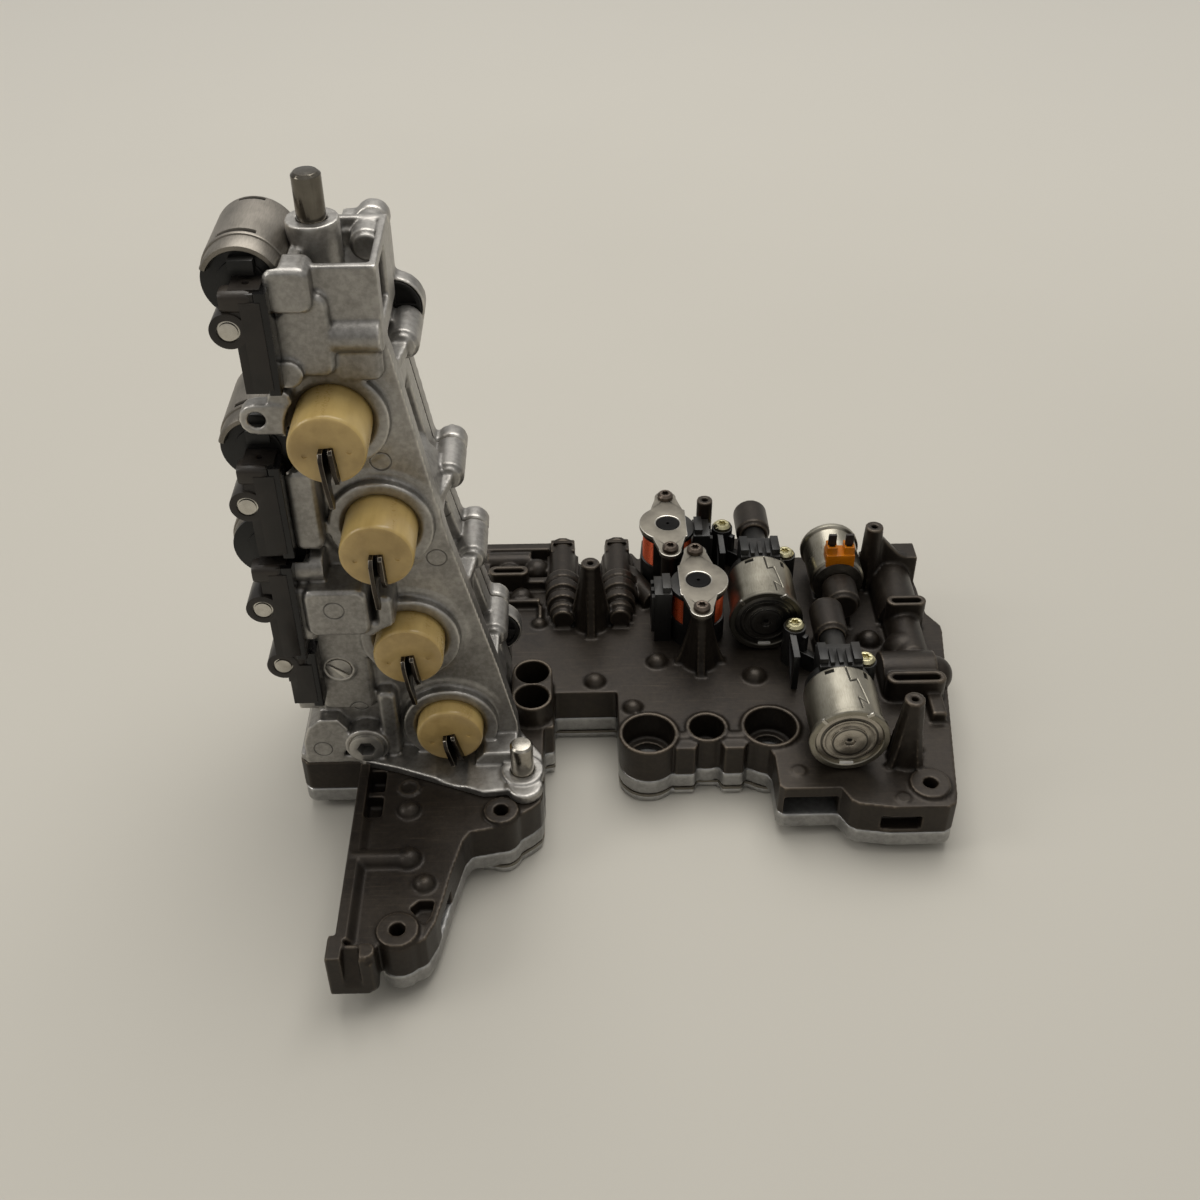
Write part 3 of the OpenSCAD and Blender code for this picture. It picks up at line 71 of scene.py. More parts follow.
# Clouds, grains and pits to a metre of a cast skin, from broad to fine
BROAD, PATCH, GRIT, PITS, FINE = 16.0, 80.0, 420.0, 800.0, 1500.0
Colour = tuple[float, float, float]
Window = tuple[float, float, float, float, float]
EVEN = (1.0, 1.0, 1.0)

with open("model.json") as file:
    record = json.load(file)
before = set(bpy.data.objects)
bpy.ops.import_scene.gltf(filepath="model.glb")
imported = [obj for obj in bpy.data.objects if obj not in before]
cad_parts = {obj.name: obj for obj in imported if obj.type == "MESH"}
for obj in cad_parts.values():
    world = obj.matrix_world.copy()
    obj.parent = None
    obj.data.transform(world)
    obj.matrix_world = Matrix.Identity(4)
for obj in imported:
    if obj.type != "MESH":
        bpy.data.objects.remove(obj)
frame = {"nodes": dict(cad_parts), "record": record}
CAD_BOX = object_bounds()


class Axis(Enum):
    """Axis of the row frame."""

    X = 0
    Y = 1
    Z = 2


def tint(code: str) -> Colour:
    """Turn a colour written as six hexadecimal digits into linear light.

    A share s up to 0.04045 becomes s / 12.92, and a greater one (s + 0.055) / 1.055 to the power 2.4.

    Args:
        code: The digits, red first.

    Returns:
        The red, green and blue shares of linear light.
    """
    share = np.array([int(code[i : i + 2], 16) for i in (0, 2, 4)]) / 255.0
    linear = np.where(share <= 0.04045, share / 12.92, ((share + 0.055) / 1.055) ** 2.4)
    return tuple(float(x) for x in linear)


class Signal:
    """A number of a material that takes part in Python sums."""

    def __init__(self, shader: "Shader", socket: bpy.types.NodeSocket) -> None:
        """Keep the socket and the shader that it belongs to."""
        self.shader = shader
        self.socket = socket

    def _sum(self, operation: str, left: object, right: object) -> "Signal":
        """Result of a Math node with an operation on two values or signals."""
        made = self.shader.node("ShaderNodeMath", {"operation": operation}, {0: left, 1: right})
        return Signal(self.shader, made.outputs[0])

    def __add__(self, other: object) -> "Signal":
        """Sum."""
        return self._sum("ADD", self, other)

    def __radd__(self, other: object) -> "Signal":
        """Sum, reflected."""
        return self._sum("ADD", other, self)

    def __sub__(self, other: object) -> "Signal":
        """Difference."""
        return self._sum("SUBTRACT", self, other)

    def __rsub__(self, other: object) -> "Signal":
        """Difference, reflected."""
        return self._sum("SUBTRACT", other, self)

    def __mul__(self, other: object) -> "Signal":
        """Product."""
        return self._sum("MULTIPLY", self, other)

    def __rmul__(self, other: object) -> "Signal":
        """Product, reflected."""
        return self._sum("MULTIPLY", other, self)

    def sine(self) -> "Signal":
        """Sine of the value in radians."""
        return self._sum("SINE", self, 0.0)

    def root(self) -> "Signal":
        """Square root."""
        return self._sum("SQRT", self, 0.0)

    def size(self) -> "Signal":
        """Absolute value."""
        return self._sum("ABSOLUTE", self, 0.0)

    def most(self, other: object) -> "Signal":
        """Greater of the value and another."""
        return self._sum("MAXIMUM", self, other)

    def span(self, low: float, high: float) -> "Signal":
        """Map a range of the value softly to 0 and 1, held at both ends.

        Args:
            low: Value that becomes 0.
            high: Value that becomes 1.

        Returns:
            The mapped signal.
        """
        settings = {"interpolation_type": "SMOOTHSTEP", "clamp": True}
        inputs = {0: self, 1: low, 2: high, 3: 0.0, 4: 1.0}
        return Signal(self.shader, self.shader.node("ShaderNodeMapRange", settings, inputs).outputs[0])


class Shader:
    """Nodes of one material or of the sky."""

    def __init__(self, tree: bpy.types.NodeTree) -> None:
        """Start with an empty tree and its own coordinates.

        Args:
            tree: The node tree to fill.
        """
        self.tree = tree
        self.tree.nodes.clear()
        self.place = self.node("ShaderNodeTexCoord").outputs["Object"]

    def node(self, kind: str, settings: dict | None = None, inputs: dict | None = None) -> bpy.types.Node:
        """Add a node of any kind.

        Args:
            kind: Blender's name of the node type.
            settings: Its properties, set first.
            inputs: Values or links of its sockets, by name or number.

        Returns:
            The node.
        """
        made = self.tree.nodes.new(kind)
        for key, value in (settings or {}).items():
            setattr(made, key, value)
        for key, value in (inputs or {}).items():
            self.feed(made.inputs[key], value)
        return made

    def feed(self, socket: bpy.types.NodeSocket, value: object) -> None:
        """Link or set one socket.

        Args:
            socket: The input.
            value: A signal or output to link, or a number, colour or vector to set.
        """
        if isinstance(value, Signal):
            self.tree.links.new(value.socket, socket)
        elif isinstance(value, bpy.types.NodeSocket):
            self.tree.links.new(value, socket)
        elif socket.type == "RGBA" and len(value) == 3:
            socket.default_value = (*value, 1.0)
        else:
            socket.default_value = value

    def noise(
        self, scale: float, detail: float = 3.0, rough: float = 0.55, stretch: Colour = EVEN
    ) -> Signal:
        """Cloudy noise over the object's own coordinates.

        Args:
            scale: Clouds to a metre.
            detail: Finer layers added.
            rough: Weight of the finer layers.
            stretch: Share of the scale along each axis.

        Returns:
            The noise, from 0 to 1 about a half.
        """
        where = self.place
        if stretch != EVEN:
            where = self.node("ShaderNodeMapping", None, {"Vector": where, "Scale": stretch}).outputs[0]
        inputs = {"Vector": where, "Scale": scale, "Detail": detail, "Roughness": rough}
        return Signal(self, self.node("ShaderNodeTexNoise", None, inputs).outputs[0])

    def cells(self, scale: float) -> Signal:
        """Distance to scattered points, so many to a metre, as a share of their spacing."""
        made = self.node("ShaderNodeTexVoronoi", None, {"Vector": self.place, "Scale": scale})
        return Signal(self, made.outputs[0])

    def along(self, axis: Axis) -> Signal:
        """Object coordinate along one axis."""
        return Signal(self, self.node("ShaderNodeSeparateXYZ", None, {0: self.place}).outputs[axis.value])

    def facing(self, axis: Axis) -> Signal:
        """Share of the surface normal along one axis."""
        normal = self.node("ShaderNodeNewGeometry").outputs["Normal"]
        return Signal(self, self.node("ShaderNodeSeparateXYZ", None, {0: normal}).outputs[axis.value])

    def edge(self) -> Signal:
        """Sharpness of the surface: a half on flats, more on edges and less in corners."""
        return Signal(self, self.node("ShaderNodeNewGeometry").outputs["Pointiness"])

    def mix(self, share: object, first: object, second: object) -> bpy.types.NodeSocket:
        """Mix two colours or sockets by the share of the second."""
        made = self.node("ShaderNodeMix", {"data_type": "RGBA"}, {0: share, 6: first, 7: second})
        return made.outputs[2]

    def relief(self, height: Signal, depth: float, strength: float) -> bpy.types.NodeSocket:
        """Turn a height from 0 to 1 into a bumped normal of a real depth in metres and a strength."""
        inputs = {"Height": height, "Distance": depth, "Strength": strength}
        return self.node("ShaderNodeBump", None, inputs).outputs[0]

    def mark(self, name: str) -> Signal:
        """Value that the piece's own mesh carries under a name."""
        made = self.node("ShaderNodeAttribute", {"attribute_name": name})
        return Signal(self, made.outputs["Fac"])

    def reach(self, x: float, z: float) -> Signal:
        """Distance in metres from an axis along Y that stands at a place in millimetres."""
        across, over = self.along(Axis.X) - x * MM, self.along(Axis.Z) - z * MM
        return (across * across + over * over).root()


class Surface(Shader):
    """One material with one surface shader."""

    def __init__(self, name: str) -> None:
        """Start a material.

        Args:
            name: Name of the material.
        """
        self.material = bpy.data.materials.new(name)
        self.material.use_nodes = True
        super().__init__(self.material.node_tree)
        self.surface = self.node("ShaderNodeBsdfPrincipled")
        self.node("ShaderNodeOutputMaterial", None, {"Surface": self.surface.outputs[0]})

    def finish(self, **inputs: object) -> bpy.types.Material:
        """Set the surface shader's sockets.

        Args:
            inputs: Values by socket name, with underscores for spaces.

        Returns:
            The finished material.
        """
        for key, value in inputs.items():
            self.feed(self.surface.inputs[key.replace("_", " ")], value)
        return self.material


@dataclass(frozen=True)
class CastMetal:
    """Die cast metal with grain, edges lightened by wear and painted highlight, painted shade in its
    corners and ejector pin marks.
    """

    name: str
    body: Colour
    shade: Colour
    bare: Colour
    metallic: float
    rough: float
    # Strength of the lightened edges: bare metal worn through, and a painted highlight on the edges.
    edge_wear_and_highlight: float
    grain: float
    milled: float = 0.0
    pins: tuple[tuple[float, float], ...] = ()
    pin_radius: float = 4.2

    def material(self) -> bpy.types.Material:
        """Make the material.

        Returns:
            The material.
        """
        shader = Surface(self.name)
        broad = shader.noise(BROAD, 4.0, 0.6)
        patch = shader.noise(PATCH)
        grit = shader.noise(GRIT, rough=0.6)
        fine = shader.noise(FINE, rough=0.65)
        pit = shader.cells(PITS)
        point = shader.edge()
        tone = broad.span(0.32, 0.68) * 0.4 + patch.span(0.3, 0.7) * 0.25 + grit.span(0.3, 0.7) * 0.35
        colour = shader.mix(tone, self.shade, self.body)
        # Painted shade: darker in hollow corners and creases, where the pointiness falls below a half; it
        # also roughens them.
        corner_shade = (1 - point).span(0.505, 0.57)
        # Sharp edges lightened to the bare metal: wear, and a painted highlight.
        worn_and_highlit_edge = point.span(0.508, 0.57) * patch.span(0.2, 0.55) * self.edge_wear_and_highlight
        colour = shader.mix(corner_shade * 0.85, colour, tuple(0.25 * x for x in self.shade))
        holes = (1 - pit.span(0.03, 0.16)) * grit.span(0.45, 0.7)
        colour = shader.mix(holes * 0.5, colour, tuple(0.5 * x for x in self.shade))
        colour = shader.mix(worn_and_highlit_edge, colour, self.bare)
        rough = self.rough + (fine - 0.5) * 0.2 + (patch - 0.5) * 0.2 - worn_and_highlit_edge * 0.1 + corner_shade * 0.15
        height = fine * 0.45 + grit * 0.4 + pit.span(0.0, 0.35) * 0.3
        if self.milled > 0.0:
            line = shader.noise(900.0, 2.0, 0.5, (0.05, 1.0, 1.0))
            top = shader.facing(Axis.Z).span(0.97, 1.0)
            height = height + line * top * self.milled
            colour = shader.mix(line.span(0.55, 0.8) * top * 0.12, colour, self.bare)
        if self.pins:
            ring = self.pin_rings(shader) * (-1 * shader.facing(Axis.Y)).span(0.7, 0.95)
            colour = shader.mix(ring * 0.6, colour, tuple(0.35 * x for x in self.shade))
            height = height - ring * 2.0
        return shader.finish(
            Base_Color=colour,
            Metallic=self.metallic,
            Roughness=rough,
            Normal=shader.relief(height, self.grain * MM, 0.8),
        )

    def pin_rings(self, shader: Surface) -> Signal:
        """Thin rings round the axes of the ejector pins.

        Args:
            shader: The material in the making.

        Returns:
            One on the rings and 0 elsewhere.
        """
        total = None
        for x, z in self.pins:
            off = (shader.reach(x, z) - self.pin_radius * MM).size()
            ring = 1 - off.span(0.12 * MM, 0.45 * MM)
            total = ring if total is None else total.most(ring)
        return total


@dataclass(frozen=True)
class BrightMetal:
    """Ground, turned or plated metal with fine lines and a few smudges."""

    name: str
    body: Colour
    shade: Colour
    rough: float
    lines: Colour = EVEN
    metallic: float = 1.0
    depth: float = 0.02
    hub: tuple[float, float] | None = None
    # Rings of painted shade round the hub: inner and outer radius in millimetres, and share.
    shade_bands: tuple[tuple[float, float, float], ...] = ()
    # Colour of the dark marks: painted shade in seams, windows and rings, and the darker fronts of cans.
    groove: Colour = (0.02, 0.019, 0.018)

    def material(self) -> bpy.types.Material:
        """Make the material.

        Returns:
            The material.
        """
        shader = Surface(self.name)
        brush = shader.noise(260.0, 3.0, 0.6, self.lines)
        smudge = shader.noise(55.0, 4.0, 0.6)
        speck = shader.cells(420.0)
        tone = smudge.span(0.3, 0.72) * 0.6 + brush.span(0.3, 0.7) * 0.4
        colour = shader.mix(tone, self.shade, self.body)
        colour = shader.mix((1 - speck.span(0.02, 0.09)) * 0.3, colour, self.shade)
        rough = self.rough + (smudge - 0.5) * 0.2 + (brush - 0.5) * 0.14
        height = brush
        if self.hub is not None:
            turned = (shader.reach(*self.hub) * (2000.0 * math.pi) + smudge * 2.0).sine()
            colour = shader.mix(turned.span(-0.2, 1.0) * 0.3, colour, self.shade)
            height = height * 0.5 + turned * 0.5
        # The can's dark mark and the rings take the groove colour: painted shade in seams, windows and
        # rings, and the darker can fronts.
        dark = shader.mark("dark")
        # Each ring paints shade: the groove colour between two radii round the hub.
        for inner, outer, share in self.shade_bands:
            off = (shader.reach(*self.hub) - (inner + outer) / 2 * MM).size()
            half = (outer - inner) / 2 * MM
            dark = dark.most((1 - off.span(0.7 * half, 1.2 * half)) * share)
        colour = shader.mix(dark, colour, self.groove)
        return shader.finish(
            Base_Color=colour,
            Metallic=self.metallic,
            Roughness=rough + dark * 0.15,
            Normal=shader.relief(height, self.depth * MM, 0.5),
        )


@dataclass(frozen=True)
class MouldedPlastic:
    """Moulded plastic with a fine skin, scuffs and a little dust on top."""

    name: str
    body: Colour
    shade: Colour
    rough: float
    dust: float = 0.08
    grain: float = 0.03
    streak: float = 0.0
    coat: float = 0.0
    gloss: float = 0.5

    def material(self) -> bpy.types.Material:
        """Make the material.

        Returns:
            The material.
        """
        shader = Surface(self.name)
        cloud = shader.noise(45.0, 4.0, 0.6)
        skin = shader.noise(900.0, 2.0, 0.5)
        scuff = shader.noise(120.0, 3.0, 0.6, (1.0, 0.15, 1.0))
        tone = cloud.span(0.3, 0.7) * (1.0 - self.streak) + scuff.span(0.35, 0.65) * self.streak
        colour = shader.mix(tone, self.shade, self.body)
        top = shader.facing(Axis.Z).span(0.4, 1.0) * cloud.span(0.35, 0.7)
        colour = shader.mix(top * self.dust, colour, tint("b8b0a2"))
        rough = self.rough + (scuff - 0.5) * 0.18 + (skin - 0.5) * 0.1
        return shader.finish(
            Base_Color=colour,
            Roughness=rough,
            Coat_Weight=self.coat,
            Specular_IOR_Level=self.gloss,
            Normal=shader.relief(skin, self.grain * MM, 0.5),
        )


@dataclass(frozen=True)
class WoundCopper:
    """Enamelled copper wire wound in level turns round an upright axis."""

    name: str
    body: Colour
    shade: Colour
    pitch: float

    def material(self) -> bpy.types.Material:
        """Make the material.

        Returns:
            The material.
        """
        shader = Surface(self.name)
        turn = (shader.along(Axis.Z) * (math.pi / (self.pitch * MM))).sine().size()
        sway = shader.noise(220.0, 2.0)
        # Darker between the turns: painted shade in the creases between the wires.
        colour = shader.mix(turn.span(0.05, 0.6) * 0.8 + sway * 0.2, self.shade, self.body)
        return shader.finish(
            Base_Color=colour,
            Metallic=0.55,
            Roughness=0.3 + (sway - 0.5) * 0.2,
            Normal=shader.relief(turn, 0.05 * MM, 0.5),
        )


@dataclass(frozen=True)
class Plain:
    """Pale ground that the part lies on, with painted light: paler far away, where the lamps don't reach.
    """

    name: str
    body: Colour
    far: Colour
    reach: tuple[float, float] = (0.35, 2.2)

    def material(self) -> bpy.types.Material:
        """Make the material.

        Returns:
            The material.
        """
        shader = Surface(self.name)
        cloud = shader.noise(2.2, 3.0)
        colour = shader.mix(cloud.span(0.3, 0.7) * 0.25, self.body, tuple(0.9 * x for x in self.body))
        across, ahead = shader.along(Axis.X), shader.along(Axis.Y)
        # Painted light: the ground's colour turns paler with distance from the part.
        away = (across * across + ahead * ahead).root().span(*self.reach)
        return shader.finish(Base_Color=shader.mix(away, colour, self.far), Roughness=0.75)


# Axes of the pole faces of the pressure solenoids, across and up
POLE_AXES = ((158.0, 50.0), (129.7, 50.0), (170.8, 47.0))
FACE_PINS = ((-41.2, 193.1), (-22.8, 144.5), (-64.8, 132.2), (-63.5, 62.3), (-82.4, 40.1))
DARK_CAST = CastMetal(
    "dark_cast", tint("352e26"), tint("201b17"), tint("766a5b"), 0.55, 0.4, 0.7, 0.08, 0.5
)
SILVER_CAST = CastMetal(
    "silver_cast", tint("b2afaa"), tint("787571"), tint("e4e0d8"), 0.9, 0.4, 0.9, 0.13, 0.0, FACE_PINS
)
PALE_CAST = CastMetal(
    "pale_cast", tint("adacaa"), tint("7f7e7c"), tint("d4d3cf"), 0.85, 0.45, 0.7, 0.12
)
SHEET_STEEL = BrightMetal("sheet_steel", tint("8f8a7f"), tint("757067"), 0.55)
BRIGHT_STEEL = BrightMetal("bright_steel", tint("bdb8ad"), tint("88837a"), 0.24)
ROD_STEEL = BrightMetal("rod_steel", tint("7e796f"), tint("524d46"), 0.16, (1.0, 1.0, 0.1))
ZINC_SCREW = BrightMetal("zinc_screw", tint("dcd5b0"), tint("a39b76"), 0.24)
BROWN_SCREW = BrightMetal("brown_screw", tint("7d7167"), tint("4f463e"), 0.34)
DARK_STEEL = BrightMetal("dark_steel", tint("4c463f"), tint("332e2a"), 0.34, (1.0, 1.0, 6.0))
EDGE_STEEL = BrightMetal("edge_steel", tint("9c9589"), tint("736c62"), 0.26)
CAN_NICKEL = BrightMetal("can_nickel", tint("b3aea0"), tint("868174"), 0.32, (14.0, 1.0, 14.0))
CAN_GREY = BrightMetal("can_grey", tint("9a948b"), tint("726d65"), 0.46, (10.0, 1.0, 10.0))
# Painted shade on the turned pole faces: the centre hole, the groove round the button and the shadow ring
# inside the flange.
TURNED_SHADE_BANDS = ((-1.3, 1.3, 1.0), (7.4, 8.3, 0.8), (12.25, 13.3, 0.75))
POLE_1 = BrightMetal(
    "pole_turned", tint("c4beb2"), tint("979086"), 0.3, hub=POLE_AXES[0], shade_bands=TURNED_SHADE_BANDS
)
POLE_2 = BrightMetal(
    "pole_black", tint("6b6966"), tint("4c4a47"), 0.34, hub=POLE_AXES[1], shade_bands=TURNED_SHADE_BANDS
)
POLE_3 = BrightMetal("pole_rear", tint("7d7870"), tint("4b4640"), 0.36, hub=POLE_AXES[2])
PIN_STEEL = BrightMetal("pin_steel", tint("d2cec6"), tint("aaa69d"), 0.22)
IVORY = MouldedPlastic("ivory_plastic", tint("cbb070"), tint("b0945a"), 0.3, 0.0, 0.015, 0.5, 0.2)
# Painted shade: a darker copy of the ivory for the piston faces that look forward, along -Y.
IVORY_SHADED_FACE = MouldedPlastic("ivory_shaded_face", tint("bea269"), tint("9c8250"), 0.36, 0.0, 0.02, 0.3, 0.1)
BLACK_PLASTIC = MouldedPlastic("black_plastic", tint("1f1e1d"), tint("121211"), 0.34, 0.04, gloss=0.35)
POLE_DISC = MouldedPlastic("pole_disc", tint("1d1c1b"), tint("100f0f"), 0.42, 0.0, 0.01, gloss=0.06)
WHITE_TICK = MouldedPlastic("white_tick", tint("f2f0ea"), tint("dedbd3"), 0.3, 0.0, 0.01, coat=0.3)
BROWN_PLASTIC = MouldedPlastic("brown_plastic", tint("342e28"), tint("25201c"), 0.36, 0.04, gloss=0.4)
GLOSS_BLACK = MouldedPlastic("gloss_black", tint("161514"), tint("0c0b0b"), 0.24, 0.0, 0.01, gloss=0.4)
STRIP_BLACK = MouldedPlastic("strip_black", tint("2b2622"), tint("1d1a17"), 0.34, 0.03, 0.02, gloss=0.4)
ORANGE = MouldedPlastic("orange_plastic", tint("ce7a05"), tint("a05a03"), 0.3, 0.0, 0.02, 0.3, gloss=0.2)
COPPER = WoundCopper("copper_wire", tint("d4592c"), tint("7d2a12"), 0.62)
GROUND = Plain("pale_ground", tint("bfbbb1"), tint("f4f0e6"))


@functools.cache
def material_of(finish: object) -> bpy.types.Material:
    """Material of a finish, made at first use."""
    return finish.material()


def link(name: str, mesh: bpy.types.Mesh) -> bpy.types.Object:
    """Put a mesh into the scene as an object at the origin.

    Args:
        name: Name of the piece.
        mesh: Its mesh, in the row frame.

    Returns:
        The object.
    """
    made = bpy.data.objects.new(name, mesh)
    bpy.context.scene.collection.objects.link(made)
    return made


def close_up(mesh: bpy.types.Mesh, angle: float = 35.0) -> None:
    """Merge doubles, turn faces outwards and shade smooth up to an angle.

    Args:
        mesh: The mesh to close.
        angle: Greatest angle in degrees that is shaded smooth.
    """
    work = bmesh.new()
    work.from_mesh(mesh)
    bmesh.ops.remove_doubles(work, verts=work.verts, dist=WELD)
    bmesh.ops.dissolve_degenerate(work, edges=work.edges, dist=SLIVER)
    bmesh.ops.recalc_face_normals(work, faces=work.faces)
    work.to_mesh(mesh)
    work.free()
    mesh.polygons.foreach_set("use_smooth", np.ones(len(mesh.polygons), bool))
    mesh.set_sharp_from_angle(angle=math.radians(angle))


def grid(
    name: str, points: np.ndarray, wrap: bool, marks: dict[str, np.ndarray] | None = None
) -> bpy.types.Object:
    """Turn a grid of points into a mesh of quads.

    Point (i, j) becomes vertex i times the columns plus j, and each cell between four of them a quad.

    Args:
        name: Name of the piece.
        points: Array of rows by columns by three.
        wrap: Whether the last column joins the first.
        marks: Values that the mesh carries for its material, by name.

    Returns:
        The object.
    """
    rows, columns = points.shape[:2]
    i, j = np.meshgrid(np.arange(rows - 1), np.arange(columns if wrap else columns - 1), indexing="ij")
    here, below, after = i * columns, (i + 1) * columns, (j + 1) % columns
    faces = np.stack([here + j, here + after, below + after, below + j], -1)
    mesh = bpy.data.meshes.new(name)
    mesh.from_pydata(points.reshape(-1, 3), [], faces.reshape(-1, 4))
    for key, values in (marks or {}).items():
        layer = mesh.attributes.new(key, "FLOAT", "POINT")
        layer.data.foreach_set("value", np.asarray(values, np.float32).ravel())
    close_up(mesh)
    return link(name, mesh)


def revolve(profile: np.ndarray, turn: np.ndarray) -> np.ndarray:
    """Carry a profile round the Y axis.

    A point at radius r and place s goes to (r sin t, s, r cos t), so that t = 0 is the top.

    Args:
        profile: Rows of radius and place along Y.
        turn: Angles in radians.

    Returns:
        Grid of points, rows along the profile.
    """
    radius, place = profile[:, :1], profile[:, 1:]
    return np.stack([radius * np.sin(turn), place + 0.0 * turn, radius * np.cos(turn)], -1)


def dress(piece: bpy.types.Object, finish: object) -> None:
    """Give a piece one finish all over."""
    piece.data.materials.clear()
    piece.data.materials.append(material_of(finish))


def paint(piece: bpy.types.Object, finish: object, chosen: np.ndarray) -> None:
    """Give some faces of a piece a second finish.

    Args:
        piece: The dressed piece.
        finish: Finish of the chosen faces.
        chosen: One truth value for each face.
    """
    faces = piece.data.polygons
    index = np.empty(len(faces), np.int32)
    faces.foreach_get("material_index", index)
    piece.data.materials.append(material_of(finish))
    index[chosen] = len(piece.data.materials) - 1
    faces.foreach_set("material_index", index)


def face_places(piece: bpy.types.Object) -> tuple[np.ndarray, np.ndarray]:
    """Middles in millimetres and normals of a piece's faces.

    Args:
        piece: The piece.

    Returns:
        Two arrays of faces by three.
    """
    count = len(piece.data.polygons)
    middle = np.empty(count * 3, np.float32)
    normal = np.empty(count * 3, np.float32)
    piece.data.polygons.foreach_get("center", middle)
    piece.data.polygons.foreach_get("normal", normal)
    return middle.reshape(-1, 3) / MM, normal.reshape(-1, 3)


def settle(piece: bpy.types.Object, body: str, slot: str, *nodes: str) -> None:
    """Tie a new piece to its body and hide the nodes that it stands for.

    Args:
        piece: The new piece.
        body: CAD body that it moves with.
        slot: Material slot of the record; not used.
        nodes: CAD nodes that it replaces.
    """
    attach(piece, body)
    if nodes:
        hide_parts(*nodes)
    LOG.info("%s rides on %s, %d faces", piece.name, body, len(piece.data.polygons))


def node_body(node: str) -> str:
    """Name of the body that holds a CAD node."""
    return next(b for b, members in frame["record"]["behaviour"]["bodies"].items() if node in members)


def node_slot(node: str) -> str:
    """Material slot that the record gives a CAD node."""
    return next(s["material_slot"] for s in frame["record"]["subparts"] if s["node"] == node)


def box_mm(node: str) -> tuple[np.ndarray, np.ndarray]:
    """Lowest and highest corners of a CAD node in millimetres."""
    low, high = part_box(node)
    return np.array(low) / MM, np.array(high) / MM


def merged_copy(node: str, name: str) -> bpy.types.Object:
    """Copy a CAD node's mesh, with its loose triangles merged.

    Args:
        node: The CAD node.
        name: Name of the copy.

    Returns:
        The copy, in the scene.
    """
    source = frame["nodes"][node].data
    count = len(source.vertices)
    points = np.empty(count * 3, np.float32)
    source.vertices.foreach_get("co", points)
    corners = np.empty(len(source.loops), np.int32)
    source.loops.foreach_get("vertex_index", corners)
    mesh = bpy.data.meshes.new(name)
    mesh.from_pydata(points.reshape(-1, 3), [], corners.reshape(-1, 3))
    close_up(mesh)
    return link(name, mesh)


def bake_modifiers(piece: bpy.types.Object) -> None:
    """Replace a piece's mesh by the result of its modifiers.

    Args:
        piece: The piece.
    """
    graph = bpy.context.evaluated_depsgraph_get()
    mesh = bpy.data.meshes.new_from_object(piece.evaluated_get(graph))
    piece.modifiers.clear()
    piece.data = mesh


@dataclass
class Casting:
    """A casting made again from its CAD solid with the soft fillets of a mould."""

    node: str
    finish: CastMetal
    voxel: float
    rounds: int
    most: int

    def build(self) -> bpy.types.Object:
        """Remesh the solid, round its edges, thin its flats and dress it.

        Returns:
            The casting.
        """
        piece = merged_copy(self.node, self.node + "_cast")
        remesh = piece.modifiers.new("skin", "REMESH")
        remesh.mode = "VOXEL"
        remesh.voxel_size = self.voxel * MM
        remesh.use_smooth_shade = True
        soften = piece.modifiers.new("fillet", "SMOOTH")
        soften.factor = 0.5
        soften.iterations = self.rounds
        bake_modifiers(piece)
        triangles = 2 * len(piece.data.polygons)
        if triangles > self.most:
            thin = piece.modifiers.new("thin", "DECIMATE")
            thin.ratio = self.most / triangles
            bake_modifiers(piece)
        self.keep_inside(piece)
        piece.data.polygons.foreach_set("use_smooth", np.ones(len(piece.data.polygons), bool))
        dress(piece, self.finish)
        settle(piece, node_body(self.node), node_slot(self.node), self.node)
        return piece

    def keep_inside(self, piece: bpy.types.Object) -> None:
        """Hold the casting inside its solid's box.

        Args:
            piece: The casting.
        """
        low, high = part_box(self.node)
        points = np.empty(len(piece.data.vertices) * 3, np.float32)
        piece.data.vertices.foreach_get("co", points)
        held = np.clip(points.reshape(-1, 3), np.array(low), np.array(high))
        piece.data.vertices.foreach_set("co", held.astype(np.float32).ravel())
        piece.data.update()


@dataclass
class MachinedPiece:
    """A turned, stamped or moulded piece: its solid with small bevels on the edges."""

    node: str
    finish: object
    bevel: float = 0.25
    segments: int = 2
    rim: object | None = None

    def build(self) -> bpy.types.Object:
        """Copy the solid, bevel its edges and dress it.

        Returns:
            The piece.
        """
        piece = merged_copy(self.node, self.node + "_piece")
        dress(piece, self.finish)
        if self.bevel > 0.0:
            round_off = piece.modifiers.new("edges", "BEVEL")
            round_off.width = self.bevel * MM
            round_off.segments = self.segments
            round_off.limit_method = "ANGLE"
            round_off.angle_limit = math.radians(BEVEL_ANGLE)
            if self.rim is not None:
                piece.data.materials.append(material_of(self.rim))
                round_off.material = 1
            bake_modifiers(piece)
            piece.data.polygons.foreach_set("use_smooth", np.ones(len(piece.data.polygons), bool))
            piece.data.set_sharp_from_angle(angle=math.radians(SHARP_ANGLE))
        settle(piece, node_body(self.node), node_slot(self.node), self.node)
        return piece


def machine(finish: object, bevel: float, *nodes: str, rim: object | None = None) -> None:
    """Build the machined pieces of some nodes that share their finish, bevel and rim."""
    for node in nodes:
        MachinedPiece(node, finish, bevel, rim=rim).build()


@dataclass(frozen=True)
class Lamp:
    """Square lamp that points at a place."""

    name: str
    spot: tuple[float, float, float]
    size: float
    power: float
    colour: Colour

    def hang(self, target: Vector) -> None:
        """Hang the lamp.

        Args:
            target: Where it points.
        """
        data = bpy.data.lights.new(self.name, "AREA")
        data.size = self.size
        data.energy = self.power
        data.color = self.colour
        made = bpy.data.objects.new(self.name, data)
        spot = Vector(self.spot)
        turn = (target - spot).to_track_quat("-Z", "Y").to_matrix().to_4x4()
        made.matrix_world = Matrix.Translation(spot) @ turn
        bpy.context.scene.collection.objects.link(made)


